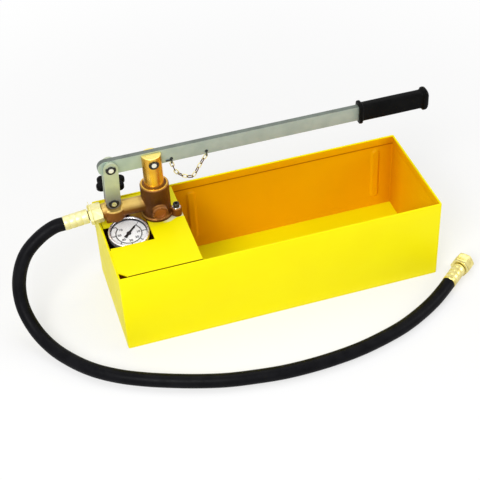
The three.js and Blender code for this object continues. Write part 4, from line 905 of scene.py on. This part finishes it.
def make_chain():
    left, right, pitch, count = 92.0, 145.5, 8.4, 11
    hang, steps, halvings = -17.5, 1000, 16
    shape = [
        (0, 0), (0.06, 0.33), (0.1, 0.52), (0.22, 0.72), (0.4, 0.9), (0.53, 1), (0.65, 0.8), (0.78, 0.48),
        (0.89, 0.22), (1, 0),
    ]

    def joints(sag):
        """Where links of the chain's pitch meet along its curve, for a sag below its ends."""
        points = [Vector((left + (right - left) * a, 0, hang - sag * b)) for a, b in shape]
        grasp = 1.3
        points.insert(0, points[0] + (points[0] - points[1]).normalized() * grasp)
        points.append(points[-1] + (points[-1] - points[-2]).normalized() * grasp)
        found = [points[0]]
        for k in range(steps + 1):
            point = catmull(points, k / steps)[0]
            if (point - found[-1]).length >= pitch:
                found.append(point)
        return found

    low, high = 0.0, pitch * count
    for _ in range(halvings):
        middle = (low + high) / 2
        if len(joints(middle)) <= count:
            low = middle
        else:
            high = middle
    found = joints(high)
    here = Matrix.Translation(LEVER)
    links = []
    for k in range(count):
        near, far = found[k], found[k + 1]
        place = here @ Matrix.Translation((near + far) / 2)
        place = place @ Matrix.Rotation(-math.atan2(far.z - near.z, far.x - near.x), 4, "Y")
        if k % 2:
            place = place @ Matrix.Rotation(math.pi / 2, 4, "X")
        links.append(oval(2.4, 2.4, 0.75, place))
    each = len(links[0].data.polygons)
    chain = dress(merge("chain_links", *links), "chain", "pale_brass", "chain")
    chain.data.materials.append(LOOKS["neck_shade_and_link_brass"])
    for face in chain.data.polygons:
        face.material_index = face.index // each % 2
    for name, x, node in (("hook_ring", right, "chain_ring"), ("lock_ring", left, "lock_pin")):
        place = here @ Matrix.Translation((x, 0, -11.5)) @ Matrix.Rotation(math.pi / 2, 4, "Z")
        pieces = [oval(0, 6, 0.8, place, steps=24)]
        if x == left:
            start = here @ Matrix.Translation((0, -5.3, -8.7)) @ TO_X
            pieces.append(lathe("leg", chamfered(1, x - 9, x, 0.6), start, 16))
        dress(merge(name, *pieces), "lever", "black_steel", node)


# ---------------------------------------------------------------- shut-off valve
def make_valve():
    here = Matrix.Translation((-219, 77, 168))
    dress(hex_nut("gland", 19, 0, 7, 5.3, 1.4, here), "tank", "turned_brass", "valve_gland_nut")
    spindle = lathe("spindle", [
        (0, -17), (2.4, -17), (2.4, -9.3), (5, -9.3), (5, 8.1), (4.7, 8.5), (4, 8.5), (4, 17.1), (3.6, 17.5),
        (0, 17.5),
    ], here, 48)
    dress(spindle, "valve_knob", "turned_brass", "valve_spindle")

    count, centre, lobe, waist, tip, soft = 144, 15.7, 7.5, 16.9, 23.2, 0.8

    def star(inset, z):
        """Six lobes of radius lobe about a waist, melted together and drawn in by inset."""
        points = []
        for k in range(count):
            angle = TAU * k / count
            off = (angle + math.pi / 6) % (math.pi / 3) - math.pi / 6
            reach = centre * math.cos(off) + math.sqrt(max(0, lobe ** 2 - (centre * math.sin(off)) ** 2))
            blend = waist
            if reach > 15.8:
                blend = math.log(math.exp(reach / soft) + math.exp(waist / soft)) * soft
            radius = min(tip, max(blend, waist)) - inset
            points.append((radius * math.cos(angle), radius * math.sin(angle), z))
        return points

    def disc(radius, z):
        turns = [TAU * k / count for k in range(count)]
        return [(radius * math.cos(turn), radius * math.sin(turn), z) for turn in turns]

    loops = [disc(4.3, 8.9), disc(4.3, 0), disc(9, 0)]
    loops += [star(2.2, 0), star(0.9, 0.35), star(0.2, 1.2), star(0, 2.2)]
    loops += [star(0, 6.6), star(0.2, 7.7), star(0.8, 8.5), star(1.8, 8.95), star(4, 9)]
    loops += [disc(12, 9), disc(11.2, 9.3), disc(11, 10), disc(10.9, 10.7), disc(10.3, 11.3), disc(9.4, 11.5)]
    loops += [disc(5, 11.5), disc(4.4, 11.2), disc(4, 10.9)]
    place = here @ Matrix.Translation((0, 0, 8.8)) @ Matrix.Rotation(math.radians(15), 4, "Z")
    knob = skin("valve_star", loops, place)
    soften(knob, 40)
    dress(knob, "valve_knob", "black_plastic", "star_knob")


# ---------------------------------------------------------------- gauge
def number(text, size, place):
    data = bpy.data.curves.new("digits", "FONT")
    data.body = text
    data.size = size * MM
    data.align_x = data.align_y = "CENTER"
    data.extrude = 0.02 * MM
    data.offset = 0.035 * size * MM
    written = add_object("digits", data)
    mesh = finished_mesh(written)
    drop(written)
    mesh.transform(Matrix.Translation(place.translation * MM) @ place.to_3x3().to_4x4())
    return add_object("digits", mesh)


def make_gauge():
    case = lathe("gauge_cup", [
        (0, -26), (28.6, -26), (29.3, -25.7), (29.6, -25), (29.6, -4), (28.2, -4), (28.2, -24.6), (0, -24.6),
    ], GAUGE, 128)
    carve(case, rod("port", 7.3, 20, 31, GAUGE @ Matrix.Translation((0, 0, -15.5)) @ TO_Y, 32))
    dress(case, "tank", "case_paint", "gauge_case")
    bezel = lathe("gauge_ring", [
        (29.9, -8), (30.8, -8), (31, -7.8), (31, -1.7), (30.85, -1.0), (30.4, -0.4), (29.7, -0.08), (28.9, 0),
        (28.2, -0.15), (27.8, -0.6), (27.8, -1.4), (29.9, -1.4),
    ], GAUGE, 160, closed=True)
    dress(bezel, "tank", "gauge_steel", "gauge_bezel")
    pane = lathe("gauge_pane", [(0, -3.7), (29.3, -3.7), (29.3, -1.7), (0, -1.7)], GAUGE, 96)
    dress(pane, "tank", "gauge_glass", "gauge_glass")
    face = lathe("gauge_face", [(1.1, -6), (27.9, -6), (27.9, -5.2), (1.1, -5.2)], GAUGE, 128, closed=True)
    dress(face, "tank", "dial_white", "gauge_dial")

    ring = [(26.9, -5.15), (27.75, -5.15), (27.75, -3.75), (26.9, -3.75)]
    dress(lathe("gauge_spacer", ring, GAUGE, 128, closed=True), "tank", "shade_grey")

    zero, sweep, divisions, dial = 45, 270, 60, -5.2
    marks = []
    for k in range(divisions + 1):
        angle = math.radians(zero - sweep * k / divisions)
        long = k % 10 == 0
        inner, outer, half = (19.3, 22.6, 0.7) if long else (19.3, 21.6 if k % 5 == 0 else 20.8, 0.25)
        place = GAUGE @ Matrix.Rotation(angle, 4, "Z")
        outline = [(inner, -half), (outer, -half), (outer, half), (inner, half)]
        marks.append(slab("mark", outline, dial, -5.12, place))
        if long:
            for text, reach, size in ((str(k), 14.4, 5.8), (str(round(14.5 * k)), 24.8, 3.4)):
                where = (reach * math.cos(angle), reach * math.sin(angle), -5.17)
                marks.append(number(text, size, GAUGE @ Matrix.Translation(where)))
    band = arc(0, 0, 19.9, zero, zero - sweep, 90) + arc(0, 0, 18.6, zero - sweep, zero, 90)
    marks.append(slab("band", band, dial, -5.11, GAUGE))
    dress(merge("gauge_scale", *marks), "tank", "dial_ink")

    here = GAUGE @ Matrix.Rotation(math.radians(zero), 4, "Z")
    blade = [
        (-9.8, -2.1), (-9.2, -2.7), (-3, -1.9), (0, -1.9), (16.8, -1.1), (18.8, 0), (16.8, 1.1), (0, 1.9),
        (-3, 1.9), (-9.2, 2.7), (-9.8, 2.1),
    ]
    pieces = [
        slab("blade", blade, -4.7, -4.05, here),
        lathe("hub", [(0, -4.75), (3.5, -4.75), (3.5, -4.1), (3.2, -3.95), (0, -3.95)], here, 48),
        rod("arbor", 0.8, -6.5, -4.1, here, 24),
    ]
    dress(merge("pointer", *pieces), "gauge_pointer", "black_steel", "gauge_pointer")


# ---------------------------------------------------------------- light and floor
def seen_directly(tree):
    """1 for rays that show the background itself: camera, glossy and transmission."""
    path = add_node(tree, "LightPath", {})
    value = path.outputs["Is Camera Ray"]
    for name in ("Is Glossy Ray", "Is Transmission Ray"):
        most = add_node(tree, "Math", {0: value, 1: path.outputs[name]})
        most.operation = "MAXIMUM"
        value = most.outputs[0]
    return value


def make_stage():
    """A white surround that lights softly, a floor that fades into it, and three lamps."""
    white = (1, 1, 1, 1)
    world = bpy.data.worlds.new("studio")
    bpy.context.scene.world = world
    world.use_nodes = True
    tree = world.node_tree
    dim = feed(tree.nodes["Background"], {"Color": white, "Strength": 0.38})
    plain = add_node(tree, "Background", {"Color": white, "Strength": 1.0})
    mix = add_node(tree, "MixShader", {0: seen_directly(tree), 1: dim.outputs[0], 2: plain.outputs[0]})
    feed(tree.nodes["World Output"], {"Surface": mix.outputs[0]})

    far, low = 9000, -0.3
    corners = [(-far, -far, low), (far, -far, low), (far, far, low), (-far, far, low)]
    floor = new_piece("floor", corners, [[0, 1, 2, 3]])
    material = bpy.data.materials.new("floor")
    material.use_nodes = True
    tree = material.node_tree
    tree.nodes.remove(tree.nodes["Principled BSDF"])
    matt = add_node(tree, "BsdfDiffuse", {"Color": (0.93, 0.93, 0.93, 1)})
    glow = add_node(tree, "Emission", {})
    away = add_node(tree, "VectorMath", {0: add_node(tree, "TexCoord", {}).outputs["Object"]})
    away.operation = "LENGTH"
    fade = add_node(tree, "MapRange", {
        "Value": away.outputs["Value"], "From Min": 0.3, "From Max": 1.1, "To Min": 0.6, "To Max": 1.0,
    })
    fade.interpolation_type = "SMOOTHSTEP"
    share = add_node(tree, "Math", {0: seen_directly(tree), 1: fade.outputs["Result"]})
    share.operation = "MULTIPLY"
    mix = add_node(tree, "MixShader", {0: share.outputs[0], 1: matt.outputs[0], 2: glow.outputs[0]})
    feed(tree.nodes["Material Output"], {"Surface": mix.outputs[0]})
    floor.data.materials.append(material)

    lamps = (
        ("key", (-1000, -1300, 1400), 900, 27),
        ("right", (1500, -500, 900), 700, 7),
        ("top", (100, 500, 1900), 1100, 9),
    )
    for name, place, size, power in lamps:
        data = bpy.data.lights.new(name, "AREA")
        data.size = size * MM
        data.energy = power
        lamp = add_object(name, data)
        lamp.location = Vector(place) * MM
        lamp.rotation_euler = (Vector((0, 0, 100)) - Vector(place)).to_track_quat("-Z", "Y").to_euler()


make_camera()
dress_frame()
hose, hose_points = make_hose()
with_pieces = make_hose_ends()
make_tank()
make_casting()
make_fasteners()
make_piston()
make_links()
make_lever()
make_chain()
make_valve()
make_gauge()
make_stage()

bpy.context.scene.view_settings.view_transform = "Standard"
